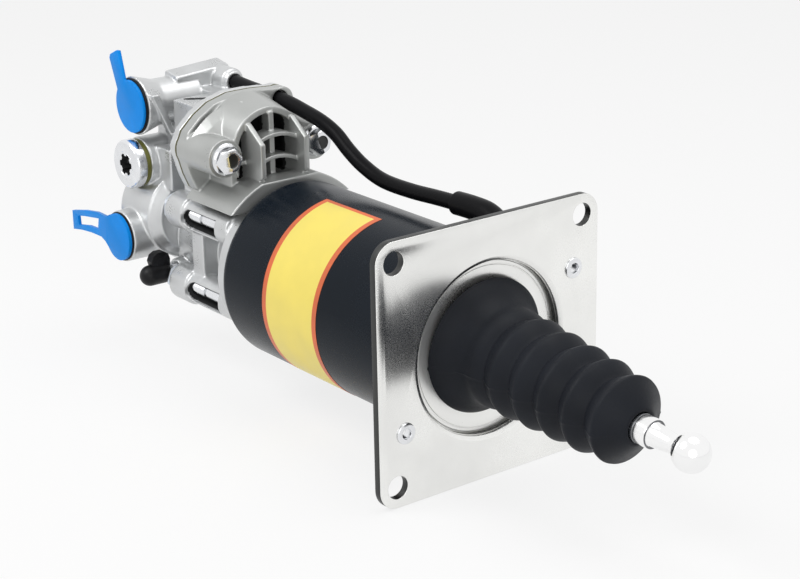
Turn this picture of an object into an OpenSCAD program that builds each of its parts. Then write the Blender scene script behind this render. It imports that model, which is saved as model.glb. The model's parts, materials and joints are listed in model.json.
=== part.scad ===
// Clutch servo: an air assisted hydraulic slave cylinder with a control valve.
// Origin: centre of the flange plate's mounting face. +X along the push rod
// towards its ball, +Z up. The ports face -Y.

/* [Flange plate] */
// Width of the plate along Y
plate_w = 130; // [126:1:150]
// Height of the plate along Z
plate_h = 126; // [122:1:150]
// Thickness of the plate
plate_t = 4; // [3:0.5:8]
// Corner radius of the plate
plate_corner_r = 10; // [4:1:11]
// Distance of the mounting holes from the plate's edges
bolt_inset = 10; // [8:0.5:11]
// Mounting hole diameter, for M10 studs
bolt_hole_d = 11; // [8:0.5:12]
// Centring bore in the plate
spigot_bore_d = 83; // [80:1:85]
// Locating bush outer diameter
bush_d = 10; // [8:0.5:12]
// Locating bush bore
bush_bore_d = 5; // [3:0.5:6]
// Distance of the locating bushes from the plate's side edges
bush_inset = 15; // [13:0.5:16]
// Locating bush offset along Z
bush_z = 28; // [24:1:32]
// How far a locating bush stands proud of the plate
bush_proud = 0.8; // [0:0.1:2]

/* [Air cylinder] */
// Outer diameter of the cylinder shell
shell_d = 92.4; // [91:0.2:94]
// Wall of the cylinder shell
shell_wall = 2.2; // [1.6:0.1:3]
// Distance from the mounting face to the rear of the shell
shell_rear = 157; // [150:1:180]
// Rear wall of the shell
shell_back_t = 3; // [2:0.5:5]
// Shoulder radius at the rear of the shell
shell_shoulder_r = 6; // [3:0.5:8]
// Distance from the mounting face to the front ring
ring_depth = 5; // [4.2:0.1:7]
// Thickness of the front ring
ring_t = 4; // [3:0.5:6]
// Opening of the front ring
ring_bore_d = 60; // [56:1:64]

/* [Piston and plunger] */
// Piston face behind the mounting face
piston_x = 48; // [44:1:52]
// Thickness of the piston
piston_t = 14; // [12:1:18]
// Diameter of the hub that holds the rod socket
hub_d = 30; // [26:1:40]
// Distance of the rod pivot behind the mounting face
pivot_x = 36; // [32:1:38]
// Diameter of the plunger
plunger_d = 22; // [18:1:24]
// Length of the plunger behind the piston
plunger_l = 138; // [130:1:142]
// Gap round the piston
piston_gap = 0.5; // [0.3:0.1:0.8]
// Gap round seals that slide
seal_gap = 0.3; // [0.2:0.05:0.4]
// Running clearance of the plunger in its bush
bush_clear = 0.05; // [0.02:0.01:0.1]
// Wire of the preload spring
spring_wire = 3.6; // [3:0.2:4]
// Mean diameter of the preload spring
spring_d = 41; // [39:0.5:42]
// Turns of the preload spring
spring_turns = 6; // [4:1:7]

/* [Push rod] */
// Tilt of the rod as it hangs in its socket
rod_tilt = 3.1; // [0:0.1:4]
// Distance from the pivot to the centre of the ball
rod_l = 163; // [155:1:180]
// Diameter of the ball at the front
ball_d = 17.2; // [15:0.2:19]
// Diameter of the rod shank
rod_d = 11; // [9:0.5:12]
// Diameter of the ball in the socket
socket_ball_d = 18; // [15:0.5:19]
// Diameter of the collar
collar_d = 13.6; // [12.5:0.2:16]
// Diameter of the neck where it meets the ball
neck_d = 8.4; // [7:0.2:10]

/* [Boot] */
// Outer diameter of the boot at its base
boot_base_d = 66.4; // [64:0.2:68]
// Wall of the boot
boot_wall = 2.4; // [1.8:0.1:3]
// Radius of the first full fold
boot_fold_r = 24; // [22:0.5:27]
// Pitch of the folds
boot_pitch = 15; // [14:0.1:15.3]

/* [Main casting] */
// Radius of the casting's front flange
body_flange_r = 41.5; // [40:0.5:43]
// Length of the casting's front flange
body_flange_t = 10; // [8:1:14]
// Rear end of the barrel behind the mounting face
barrel_rear = 272; // [266:1:280]
// Radius of the barrel round the plunger
barrel_r = 21; // [19:0.5:24]
// Tie bolt offset along Y
tie_y = 27; // [25:0.5:28]
// Tie bolt offset along Z
tie_z = 20; // [19:0.5:21]
// Tie bolt diameter
tie_d = 8; // [6:1:8]
// Rear face of the tie bolt lugs
tie_rear = 222; // [220:1:226]

/* [Control valve] */
// Valve axis offset along Y
valve_y = -3; // [-4:0.5:0]
// Valve axis height
valve_z = 60; // [58:0.5:64]
// Joint face of the valve cover behind the mounting face
cover_x = 202; // [200:1:205]
// Front of the cover's dome behind the mounting face
dome_x = 172; // [170:1:175]
// Radius of the dome at its front
dome_r = 22; // [20:0.5:23]
// Radius of the dome at its flange
dome_root_r = 26; // [25:0.5:27]
// Half the pitch of the cover bolts
cover_bolt_y = 27.5; // [26.5:0.5:30]
// Diameter of the cover bolts
cover_bolt_d = 8; // [6:1:8]
// Gasket thickness
gasket_t = 1; // [0.5:0.1:1.5]
// Diameter of the control piston
control_d = 28; // [24:1:30]
// Thickness of the grille's bars
bar_t = 3; // [2.4:0.2:3.4]

/* [Ports] */
// Distance of the three ports behind the mounting face
port_x = 257; // [254:1:259]
// Height of the air port
air_z = 71.5; // [70:0.5:74]
// Face of the air port's boss along -Y
air_y = 31; // [29:0.5:34]
// Radius of the air port's boss
air_r = 16.5; // [15.5:0.5:18]
// Height of the screw plug
plug_z = 40.5; // [39:0.5:42]
// Face of the screw plug's boss along -Y
plug_y = 30; // [28:0.5:32]
// Height of the fluid port
fluid_z = 1.5; // [0:0.5:3]
// Face of the fluid port's boss along -Y
fluid_y = 44; // [42:0.5:47]
// Radius of the fluid port's boss
fluid_r = 14; // [13:0.5:15]
// Height of the bleed screw
bleed_z = -16.5; // [-18:0.5:-15]
// Distance of the bleed screw behind the mounting face
bleed_x = 236; // [235:0.5:237]

/* [Vent pipe] */
// Diameter of the vent pipe
pipe_d = 7.6; // [6:0.2:8]
// Pipe offset along Y
pipe_y = 20; // [19:0.5:22]
// Height of the pipe at the valve
pipe_z = 80; // [79.5:0.5:81]

/* [Hidden] */
$fn = 64;

cut = 1;
bolt_pitch_y = plate_w - 2 * bolt_inset;
bolt_pitch_z = plate_h - 2 * bolt_inset;
bush_y = plate_w / 2 - bush_inset;
shell_r = shell_d / 2;
shell_in_r = shell_r - shell_wall;
ring_back = -ring_depth - ring_t;
shell_back = -shell_rear;
shell_floor = shell_back + shell_back_t;
body_front = shell_back;
body_flange_back = body_front - body_flange_t;
piston_back = -piston_x - piston_t;
plunger_end = piston_back - plunger_l;
tie_mid_z = 2;
saddle_z = 34;
spigot_front = shell_floor + 8;
spigot_face = spigot_front - 3;
pipe_cover_z = pipe_z - 1.4;

// A round bar along X from x0 to x1
module xrod(x0, x1, r, y = 0, z = 0)
    translate([x0, y, z]) rotate([0, 90, 0]) cylinder(h = x1 - x0, r = r);

// A cone along X with radius r0 at x0 and r1 at x1
module xcone(x0, x1, r0, r1, y = 0, z = 0)
    translate([x0, y, z]) rotate([0, 90, 0]) cylinder(h = x1 - x0, r1 = r0, r2 = r1);

// A round bar along Y from y0 to y1
module yrod(y0, y1, r, x, z)
    translate([x, y1, z]) rotate([90, 0, 0]) cylinder(h = y1 - y0, r = r);

// A block between two corners
module block(a, b) translate(a) cube(b - a);

// A ring round the X axis from an outline of [x, radius] points
module xturned(outline, fn = 64)
    rotate([0, 90, 0]) rotate_extrude($fn = fn) polygon([for (p = outline) [p[1], p[0]]]);

// A rounded rectangle, w by h, centred
module rounded(w, h, r) {
    square([w - 2 * r, h], center = true);
    square([w, h - 2 * r], center = true);
    for (x = [-1, 1], y = [-1, 1]) translate([x * (w / 2 - r), y * (h / 2 - r)]) circle(r);
}

// An outline in the YZ plane made solid from x0 to x1
module xplate(x0, x1) translate([x0, 0, 0]) rotate([90, 0, 90]) linear_extrude(x1 - x0) children();

// Tube swept along a path, with rings square to it
function unit(v) = v / norm(v);
function tangent(p, i) = unit(p[min(i + 1, len(p) - 1)] - p[max(i - 1, 0)]);
function ring(c, t, ref, r, n) = let (a = unit(cross(t, ref)), b = cross(t, a))
    [for (k = [0 : n - 1]) c + r * (cos(k * 360 / n) * a + sin(k * 360 / n) * b)];
module sweep(path, r, n, ref) {
    m = len(path);
    points = [for (i = [0 : m - 1]) each ring(path[i], tangent(path, i), ref, r, n)];
    sides = [for (i = [0 : m - 2], k = [0 : n - 1])
        [i * n + k, (i + 1) * n + k, (i + 1) * n + (k + 1) % n, i * n + (k + 1) % n]];
    start = [for (k = [0 : n - 1]) k];
    finish = [for (k = [n - 1 : -1 : 0]) (m - 1) * n + k];
    polyhedron(points = points, faces = concat([start], sides, [finish]), convexity = 8);
}

// Smooth curve through chosen points
function spline_at(p0, p1, p2, p3, t) = 0.5 * (2 * p1 + (p2 - p0) * t
    + (2 * p0 - 5 * p1 + 4 * p2 - p3) * t * t + (3 * p1 - p0 - 3 * p2 + p3) * t * t * t);
function spline(p, steps) = concat([for (i = [0 : len(p) - 2], k = [0 : steps - 1])
    spline_at(p[max(i - 1, 0)], p[i], p[i + 1], p[min(i + 2, len(p) - 1)], k / steps)],
    [p[len(p) - 1]]);

// Coil round the X axis with closed ends
function coil_path(x0, x1, r, turns, per_turn) = let (n = turns * per_turn)
    [for (i = [0 : n]) let (u = i / n, v = u * u * (3 - 2 * u), w = 0.35 * v + 0.65 * u)
        [x0 + (x1 - x0) * w, r * cos(u * turns * 360), r * sin(u * turns * 360)]];

module flange_plate() {
    lip = 2.5;
    spigot_r = spigot_bore_d / 2;
    color("silver") difference() {
        xplate(-plate_t, 0) rounded(plate_w, plate_h, plate_corner_r);
        xrod(-plate_t - cut, cut, spigot_r);
        xturned([[-lip, spigot_r - 1], [-lip, spigot_r], [-lip / 2, spigot_r + 0.5], [0, spigot_r + lip],
                 [cut, spigot_r + lip], [cut, spigot_r - 1]]);
        for (y = [-1, 1], z = [-1, 1])
            xrod(-plate_t - cut, cut, bolt_hole_d / 2, y * bolt_pitch_y / 2, z * bolt_pitch_z / 2);
        for (s = [-1, 1]) xrod(-plate_t - cut, cut, bush_d / 2 - 1, s * bush_y, s * bush_z);
    }
}

// Tubular bushes pressed through the plate at two opposite places
module locating_bushes() {
    shank_r = bush_d / 2 - 1;
    color("lightgray") for (s = [-1, 1]) translate([0, s * bush_y, s * bush_z]) difference() {
        union() {
            xrod(-plate_t, bush_proud, shank_r);
            xturned([[0, shank_r - 1], [0, bush_d / 2], [bush_proud * 0.6, bush_d / 2],
                     [bush_proud, bush_d / 2 - 0.6], [bush_proud, shank_r - 1]]);
        }
        xrod(-plate_t - cut, bush_proud + cut, bush_bore_d / 2);
    }
}

// Drawn steel cup, open at the plate
module cylinder_shell() {
    spigot_gap_r = barrel_r + 6;
    color("#1b1c20") difference() {
        xturned(concat([[-plate_t, 0], [-plate_t, shell_r], [shell_back + shell_shoulder_r, shell_r]],
            [for (a = [15 : 15 : 75]) [shell_back + shell_shoulder_r * (1 - sin(a)),
                                       shell_r - shell_shoulder_r * (1 - cos(a))]],
            [[shell_back, shell_r - shell_shoulder_r], [shell_back, 0]]));
        xturned([[cut, 0], [cut, shell_in_r], [shell_floor + 1.5, shell_in_r],
                 [shell_floor, shell_in_r - 1.5], [shell_floor, 0]]);
        xrod(shell_back - cut, shell_floor + cut, spigot_gap_r);
        for (y = [-1, 1], z = [-1, 1])
            xrod(shell_back - cut, shell_floor + cut, tie_d / 2 + 0.3, y * tie_y, tie_mid_z + z * tie_z);
        vent_drill(3.4);
    }
}

// Straight hole along the vent nipple's axis
vent_x = -16;
vent_angle = 20;
module vent_drill(r) translate([vent_x, 0, 0]) rotate([-vent_angle, 0, 0])
    translate([0, 0, shell_in_r - 3]) cylinder(h = 8, r = r);

// Ring that closes the cylinder and holds the boot
module front_ring() {
    ring_r = ring_bore_d / 2;
    color("gainsboro") difference() {
        union() {
            xrod(ring_back, -ring_depth, shell_in_r);
            xrod(ring_back - 5, ring_back + 1, ring_r + 4);
        }
        xrod(ring_back - 5 - cut, -ring_depth + cut, ring_r);
    }
}

boot_start = -ring_depth + 0.3;
boot_tilt = 4.0;
boot_folds = 5;
boot_first = 24.4;
boot_nose_l = 2.4;
boot_end = boot_first + boot_folds * boot_pitch + boot_nose_l;
mouth_r = collar_d / 2 + 0.3;
function fold_r(i) = boot_fold_r - (i < boot_folds - 1 ? 0.8 * i : 4.4);
function notch_r(i) = fold_r(i) - 4.6 - 0.35 * i;
// Each fold is a ridge between two notches, and the last one ends at its crest
function fold_points(i, off) = let (x0 = boot_first + i * boot_pitch, back = i == 0 ? notch_r(0) + 1.5 : notch_r(i - 1),
    front = notch_r(i), top = fold_r(i))
    [for (u = [-1 : 0.25 : i < boot_folds - 1 ? 0.75 : 0]) [x0 + boot_pitch * (0.5 + 0.5 * u),
        top - (top - (u < 0 ? back : front)) * pow(abs(u), 1.3) - off]];
// Rubber boot: base lip, domed base with a shoulder, five folds and a mouth on the collar
function boot_base(off) = let (base = boot_base_d / 2)
    [[3.5, base - 0.8 - off], [7, base - 2.6 - off], [10, base - 4.6 - off], [12.7, base - 6.6 - off],
     [15.2, base - 8 - off], [17.2, base - 8.7 - off], [19.2, base - 9 - off], [21.2, base - 9.6 - off],
     [23, base - 11 - off]];
boot_outer = concat([[-4, 0], [-4, boot_base_d / 2]], boot_base(0),
    [for (i = [0 : boot_folds - 1]) each fold_points(i, 0)],
    [[boot_end - 0.9, mouth_r + 2.4], [boot_end + 0.4, mouth_r + 1], [boot_end + 0.6, 0]]);
boot_inner = concat([[-5, 0], [-5, boot_base_d / 2 - boot_wall]], boot_base(boot_wall),
    [for (i = [0 : boot_folds - 1]) each fold_points(i, boot_wall)],
    [[boot_end - boot_wall - 0.9, mouth_r + 1.4], [boot_end - boot_wall - 0.5, 0]]);
module dust_boot() {
    color("#24252a") difference() {
        translate([boot_start, 0, 0]) rotate([0, boot_tilt, 0]) xturned(boot_outer, 48);
        translate([boot_start, 0, 0]) rotate([0, boot_tilt, 0]) {
            xturned(boot_inner, 48);
            xrod(boot_end - 10, boot_end + 5, mouth_r);
        }
        xrod(boot_start - 12, boot_start, boot_base_d / 2 + 5);
    }
}

module piston() {
    r = shell_in_r - piston_gap;
    hub_r = hub_d / 2;
    socket_r = socket_ball_d / 2 + seal_gap;
    hub_front = -pivot_x + 12;
    color("lightsteelblue") difference() {
        union() {
            xrod(piston_back, -piston_x, r);
            xrod(-piston_x - 1, hub_front, hub_r);
            xcone(-piston_x - 0.5, -piston_x + 6, hub_r + 8, hub_r);
        }
        translate([-pivot_x, 0, 0]) sphere(r = socket_r);
        xrod(-pivot_x, hub_front + cut, socket_r);
        xrod(-pivot_x + 5, -pivot_x + 6.5, socket_r + 1.2);
        xturned([[piston_back + 4, r - 3], [piston_back + 4, r + cut], [piston_back + 7, r + cut],
                 [piston_back + 7, r - 3]]);
        xturned([[-piston_x - 4.5, r - 1.5], [-piston_x - 4.5, r + cut], [-piston_x - 2, r + cut],
                 [-piston_x - 2, r - 1.5]]);
        for (a = [0 : 60 : 300]) rotate([a, 0, 0]) xrod(piston_back - cut, piston_back + 7, 6.5, 0, 29);
    }
}

module piston_seal() {
    r = shell_in_r - piston_gap;
    color("#202020") xturned([[piston_back + 4, r - 3], [piston_back + 4, r - 0.6],
        [piston_back + 5.5, shell_in_r - seal_gap], [piston_back + 7, r - 0.6], [piston_back + 7, r - 3]]);
}

module guide_band() {
    r = shell_in_r - piston_gap;
    color("tan") xturned([[-piston_x - 4.5, r - 1.5], [-piston_x - 4.5, shell_in_r - seal_gap],
        [-piston_x - 2, shell_in_r - seal_gap], [-piston_x - 2, r - 1.5]]);
}

// Light coil between the casting's spigot and the piston
module preload_spring() {
    color("gray") sweep(coil_path(spigot_face + spring_wire / 2 + 0.05, piston_back - spring_wire / 2 - 0.05,
        spring_d / 2, spring_turns, 18), spring_wire / 2, 8, [1, 0, 0]);
}

module plunger() {
    r = plunger_d / 2;
    color("gainsboro") difference() {
        union() {
            xrod(plunger_end + 1.5, piston_back, r);
            xcone(plunger_end, plunger_end + 1.5, r - 1.5, r);
        }
        xturned([[plunger_end + 5, r - 2], [plunger_end + 5, r + cut], [plunger_end + 9, r + cut],
                 [plunger_end + 9, r - 2]]);
    }
}

module plunger_seal() {
    r = plunger_d / 2;
    color("#202020") xturned([[plunger_end + 5, r - 2], [plunger_end + 5, r + 0.3],
        [plunger_end + 9, r + 0.3], [plunger_end + 9, r - 2]]);
}

gland_l = 14;
module gland_bush() {
    color("goldenrod") difference() {
        xrod(spigot_front - gland_l, spigot_front, plunger_d / 2 + 4);
        xrod(spigot_front - gland_l - cut, spigot_front + cut, plunger_d / 2 + bush_clear);
    }
}

module gland_seal() {
    back = spigot_front - gland_l;
    color("#202020") xturned([[back - 5, plunger_d / 2 + 0.3], [back - 5, plunger_d / 2 + 4],
        [back, plunger_d / 2 + 4], [back, plunger_d / 2 + 0.3]]);
}

// Snap ring that keeps the rod's ball in its socket
module rod_retainer() {
    socket_r = socket_ball_d / 2 + seal_gap;
    color("dimgray") difference() {
        xrod(-pivot_x + 5, -pivot_x + 6.5, socket_r + 1.2);
        xrod(-pivot_x + 5 - cut, -pivot_x + 6.5 + cut, socket_r - 1.3);
        block([-pivot_x + 4, -2.5, 0], [-pivot_x + 8, 2.5, 20]);
    }
}

// Everything on the rod lies along +X from the pivot, then hangs by the tilt
module on_rod() translate([-pivot_x, 0, 0]) rotate([0, rod_tilt, 0]) children();

collar_back = 120;
collar_front = 142.5;
spigot_l = 14;
module push_rod() {
    color("lightgray") on_rod() {
        sphere(r = socket_ball_d / 2);
        xrod(0, collar_back, rod_d / 2);
        xrod(collar_back - 1, collar_back + spigot_l, 4);
    }
}

module ball_end() {
    r = collar_d / 2;
    color("gainsboro") on_rod() difference() {
        union() {
            xcone(collar_back, collar_back + 1, r - 1, r);
            xrod(collar_back + 1, collar_front, r);
            xcone(collar_front, rod_l - ball_d / 2 + 1.5, r - 0.3, neck_d / 2);
            xrod(rod_l - ball_d / 2, rod_l, neck_d / 2);
            translate([rod_l, 0, 0]) sphere(r = ball_d / 2);
        }
        xrod(collar_back - cut, collar_back + spigot_l, 4);
    }
}

// Tie bolt lug: a ring at the rear, then a rounded rib along X with an open window on its outside
lug_ring_l = 15;
module tie_rib(y, z) {
    xrod(-tie_rear, -tie_rear + lug_ring_l, tie_d / 2 + 6, y, z);
    xrod(-tie_rear + lug_ring_l - 1, body_flange_back + 1, tie_d / 2 + 4.8, y, z);
}
module tie_window(y, z) {
    window_back = -tie_rear + lug_ring_l;
    side = sign(y);
    r = tie_d / 2 + 1.4;
    depth = tie_d / 2 + 1;
    translate([0, y, z]) rotate([-side * 4, 0, 0]) {
        translate([window_back + r, -side * depth, 0]) rotate([-side * 90, 0, 0]) cylinder(h = 20 + depth, r = r);
        block([window_back + r, side > 0 ? -depth : -20, -r], [body_flange_back - 9.5, side > 0 ? 20 : depth, r]);
    }
}

module main_casting() {
    pipe_boss_r = pipe_d / 2 + 3.2;
    valve_back = -port_x - 4;
    shelf_z = valve_z + 17;
    color("#b9bcc0") difference() {
        union() {
            // Front flange and the spigot that enters the shell
            difference() {
                union() {
                    xrod(body_flange_back + 1.5, body_front, body_flange_r);
                    xcone(body_flange_back, body_flange_back + 1.5, body_flange_r - 1.5, body_flange_r);
                    xcone(body_flange_back - 5, body_flange_back + 0.5, body_flange_r - 6, body_flange_r - 1);
                }
                block([body_flange_back - 6, -body_flange_r, saddle_z - 0.6], [body_front + cut, body_flange_r, body_flange_r + cut]);
            }
            xrod(body_front - 1, spigot_face, barrel_r + 5);
            // Barrel round the plunger, with the fluid gallery beside it
            xrod(-barrel_rear, body_flange_back + 1, barrel_r);
            xcone(-barrel_rear - 6, -barrel_rear, barrel_r - 6, barrel_r);
            xrod(-barrel_rear + 3, -port_x + 16, 24.5, -12, 12);
            xcone(-port_x + 15, -port_x + 21, 24.5, 19, -12, 12);
            xcone(-barrel_rear - 1, -barrel_rear + 3, 20.5, 24.5, -12, 12);
            for (y = [-tie_y, tie_y], s = [-1, 1]) tie_rib(y, tie_mid_z + s * tie_z);
            // Webs between the upper and the lower lugs
            for (s = [-1, 1]) block([-tie_rear + 14, s > 0 ? 18 : -tie_y - 3, tie_mid_z - tie_z],
                                    [-tie_rear + 25, s > 0 ? tie_y + 3 : -18, tie_mid_z + tie_z]);
            // Column between the barrel and the valve body
            block([valve_back, -15, 0], [-cover_x, 16, valve_z]);
            block([-cover_x - 20, -24, 20], [-cover_x, 24, valve_z]);
            // Valve body and its joint face
            xrod(-cover_x - 33, -cover_x - 4, control_d / 2 + 3, valve_y, valve_z);
            xplate(-cover_x - 5, -cover_x) cover_outline();
            block([-cover_x - 33.5, -20, valve_z - 6], [-cover_x - 4, 13, shelf_z]);
            // Upper block behind the pocket, sloping top rib and the boss that the vent pipe enters
            block([valve_back, 4, valve_z - 4], [-port_x + 22, pipe_y, shelf_z]);
            translate([0, pipe_y + 4, pipe_z + 7.7]) rotate([4, 0, 0]) rotate([90, 0, 0]) linear_extrude(33)
                polygon([[valve_back - 0.5, -11.6], [valve_back - 0.5, 0.6], [valve_back + 2, 1.6],
                         [valve_back + 11.4, -0.4], [valve_back + 12.2, -1.4], [valve_back + 10.6, -11.6]]);
            xrod(valve_back + 1.2, -port_x + 18, pipe_boss_r, pipe_y, pipe_z);
            xrod(-port_x + 17, -port_x + 20.5, pipe_boss_r - 1.2, pipe_y, pipe_z);
            // Flat sided column behind the screw plug
            block([-port_x - 2, -25, plug_z - 12.5], [-port_x + 24, -10, plug_z + 10]);
            block([-port_x + 17, -19.5, plug_z], [-cover_x - 4, -9, valve_z - 3]);
            // Bosses of the three ports
            yrod(-air_y + 11, 5, air_r - 4, -port_x, air_z);
            translate([-port_x, -air_y + 12, air_z]) rotate([90, 0, 0]) cylinder(h = 12, r1 = air_r - 4, r2 = air_r - 0.5);
            yrod(-plug_y, 0, 13.5, -port_x, plug_z);
            yrod(-fluid_y, 0, fluid_r, -port_x, fluid_z);
            // Boss of the bleed screw
            yrod(-24, 0, 6, -bleed_x, bleed_z);
            // Strut beside the air port
            xplate(-port_x + 12, -port_x + 16.5) polygon([[-air_y + 1.5, air_z + 8], [-19, valve_z - 4], [-19, plug_z + 5],
                [-15, plug_z + 5], [-15.5, valve_z - 4], [-air_y + 6, air_z + 8]]);
        }
        // Plunger bore, gland and seal pocket
        xrod(-barrel_rear + 6.5, spigot_front, plunger_d / 2 + 0.6);
        xrod(spigot_front - gland_l - 5, spigot_front + cut, plunger_d / 2 + 4);
        // Tie bolt holes and windows
        for (y = [-tie_y, tie_y], s = [-1, 1]) {
            xrod(-tie_rear - cut, body_front + cut, tie_d / 2 + 0.3, y, tie_mid_z + s * tie_z);
            tie_window(y, tie_mid_z + s * tie_z);
        }
        // Control piston's bore and the cover bolts' holes
        xrod(-cover_x - 29.5, -cover_x + cut, control_d / 2 + 0.3, valve_y, valve_z);
        // Shallow slot on top of the valve body
        translate([-cover_x - 27, -9, shelf_z - 1.5]) rotate([0, 0, 55]) {
            block([-5, -2, 0], [5, 2, 3]);
            for (s = [-5, 5]) translate([s, 0, 0]) cylinder(h = 3, r = 2);
        }
        for (s = [-1, 1])
            xrod(-cover_x - 12, -cover_x + cut, cover_bolt_d / 2, valve_y + s * cover_bolt_y, valve_z);
        // Vent pipe's way past the joint face, and its socket
        xrod(-cover_x - 8, -cover_x + cut, pipe_d / 2 + 0.8, pipe_y, pipe_cover_z);
        xrod(-port_x + 9, -port_x + 20.5 + cut, pipe_d / 2 + 0.05, pipe_y, pipe_z);
        // Port bores
        yrod(-air_y - cut, -10, 8.5, -port_x, air_z);
        yrod(-plug_y - 8, -plug_y, 13.9, -port_x, plug_z);
        yrod(-plug_y - cut, -16, 9, -port_x, plug_z);
        yrod(-fluid_y - cut, -8, 7, -port_x, fluid_z);
        yrod(-24 - cut, -12, 3.5 + bush_clear, -bleed_x, bleed_z);
    }
}

// Outline of the valve's joint face, in Y and Z
module cover_outline() {
    translate([valve_y, valve_z]) circle(dome_root_r - 0.7);
    for (s = [-1, 1]) translate([valve_y + s * cover_bolt_y, valve_z]) circle(cover_bolt_d / 2 + 6);
    translate([pipe_y + 1.5, pipe_cover_z - 1]) circle(pipe_d / 2 + 3.2);
    translate([valve_y, valve_z]) polygon([[-36.4, 4], [-36.6, -3.6], [-33.9, -13], [-30.7, -20.2], [-25, -25],
        [25, -25], [32, -16], [36.5, -6], [37, 4], [29.5, 21], [23, 24.2], [7.6, 25.3], [-6, 25.2],
        [-17.8, 22], [-26.2, 16.8], [-33.8, 9.9]]);
}

module body_seal() {
    r = barrel_r + 5;
    color("#202020") xturned([[shell_floor - 2.4, r + 0.05], [shell_floor - 2.4, r + 0.95],
        [shell_floor - 0.6, r + 0.95], [shell_floor - 0.6, r + 0.05]]);
}

// Hexagon head with a round flange, face towards +X at x
module flange_head(x, r, af, h, flange_r, dir = 1) translate([x, 0, 0]) mirror([dir < 0 ? 1 : 0, 0, 0]) {
    xcone(0, 1.8, flange_r, flange_r - 0.8);
    translate([1.7, 0, 0]) rotate([0, 90, 0]) cylinder(h = h - 1.7, r = af / sqrt(3), $fn = 6);
    xcone(h - 0.01, h + 0.5, af / 2 - 0.2, af / 2 - 1);
}

module tie_bolts() {
    color("gainsboro") for (y = [-tie_y, tie_y], s = [-1, 1]) translate([0, y, tie_mid_z + s * tie_z]) {
        flange_head(-tie_rear, tie_d / 2, 13, 7, 8, -1);
        xrod(-tie_rear, shell_floor + 1, tie_d / 2);
        translate([shell_floor + 0.1, 0, 0]) rotate([0, 90, 0]) cylinder(h = 6, r = 12 / sqrt(3), $fn = 6);
    }
}

// Cover with its half round dome, open front and grille
arch_r = 26;
module valve_cover() {
    back = -cover_x + gasket_t;
    flange_front = back + 7;
    wall = 3.5;
    in_r = dome_r - wall;
    foot_z = 47.5;
    saddle_r = 50;
    knee_x = -dome_x + 13;
    grille_y = valve_y + 1.5;
    color("#b9bcc0") difference() {
        union() {
            xplate(back, flange_front) cover_outline();
            xcone(flange_front - 1, -dome_x, dome_root_r, dome_r, valve_y, valve_z);
            for (s = [-1, 1]) {
                xrod(back + 1, -dome_x + 2, cover_bolt_d / 2 + 6, valve_y + s * cover_bolt_y, valve_z);
                block([back + 1, valve_y + (s > 0 ? 10 : -cover_bolt_y), valve_z - 9],
                      [-dome_x - 10, valve_y + (s > 0 ? cover_bolt_y : -10), valve_z + 8]);
            }
            block([back + 1, valve_y - dome_r, foot_z - 4.5], [-dome_x - 2, valve_y + dome_r, valve_z]);
            // Saddle that closes the gap to the shell
            intersection() {
                xrod(back, shell_back - 0.6, saddle_r);
                block([back - cut, -saddle_r, saddle_z], [shell_back, saddle_r, foot_z - 0.5]);
            }
        }
        // Hollow behind the grille and the valve's throat
        xcone(-dome_x - 22, -dome_x + cut, in_r, in_r, valve_y, valve_z);
        block([-dome_x - 22, valve_y - in_r, foot_z - 1.5], [-dome_x + cut, valve_y + in_r, valve_z]);
        xrod(back - cut, -dome_x - 20, 10, valve_y, valve_z);
        // Hollow of the saddle, open below
        intersection() {
            xrod(back + 4, shell_back - 4, saddle_r - 3);
            block([back, -saddle_r, saddle_z - cut], [shell_back, saddle_r, foot_z - 5]);
        }
        for (s = [-1, 1])
            xrod(back - cut, -dome_x + 3, cover_bolt_d / 2 + 0.3, valve_y + s * cover_bolt_y, valve_z);
        xrod(back - cut, -dome_x, pipe_d / 2 + 0.8, pipe_y, pipe_cover_z - 0.3);
    }
    color("#b9bcc0") {
        // Outer bars stand forward with a sloping top
        for (s = [-1, 1]) translate([0, grille_y + s * 13.3 + bar_t / 2, 0]) rotate([90, 0, 0])
            linear_extrude(bar_t) polygon([[-dome_x - 8, valve_z + in_r * 0.76], [-dome_x, valve_z + in_r * 0.82],
                [-dome_x + 1, valve_z + in_r * 0.82], [knee_x, valve_z + 6.5], [knee_x, foot_z + 1.5],
                [knee_x - 10, foot_z - 3], [-dome_x - 8, foot_z - 3]]);
        // Middle bar
        block([-dome_x - 8, grille_y - bar_t / 2, foot_z - 3], [-dome_x + 1, grille_y + bar_t / 2, valve_z + in_r + 1]);
        // Arched cross bars
        for (z = [valve_z - 2, valve_z + 9.5]) intersection() {
            difference() {
                xrod(-dome_x - 5, knee_x - 7, arch_r, grille_y, z - arch_r);
                xrod(-dome_x - 6, knee_x - 6, arch_r - bar_t * 0.7, grille_y, z - arch_r);
            }
            block([-dome_x - 6, grille_y - 13.3, z - 8], [knee_x - 6, grille_y + 13.3, z + 1]);
        }
        for (s = [-1, 1]) block([-dome_x - 5, s < 0 ? valve_y - in_r - 1 : grille_y + 13.3, valve_z - 6],
                                [-dome_x - 1, s < 0 ? grille_y - 13.3 : valve_y + in_r + 1, valve_z - 6 + bar_t * 0.7]);
    }
}

module cover_gasket() {
    color("#5d5a3c") difference() {
        xplate(-cover_x, -cover_x + gasket_t) cover_outline();
        xrod(-cover_x - cut, -cover_x + gasket_t + cut, control_d / 2 + 0.3, valve_y, valve_z);
        for (s = [-1, 1]) xrod(-cover_x - cut, -cover_x + gasket_t + cut, cover_bolt_d / 2 + 0.3,
                               valve_y + s * cover_bolt_y, valve_z);
        xrod(-cover_x - cut, -cover_x + gasket_t + cut, pipe_d / 2 + 0.8, pipe_y, pipe_cover_z);
    }
}

module cover_bolts() {
    color("gainsboro") for (s = [-1, 1]) translate([0, valve_y + s * cover_bolt_y, valve_z]) {
        flange_head(-dome_x + 2, cover_bolt_d / 2, 12, 6.5, 8.2);
        xrod(-cover_x - 11, -dome_x + 2.1, cover_bolt_d / 2);
    }
}

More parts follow.
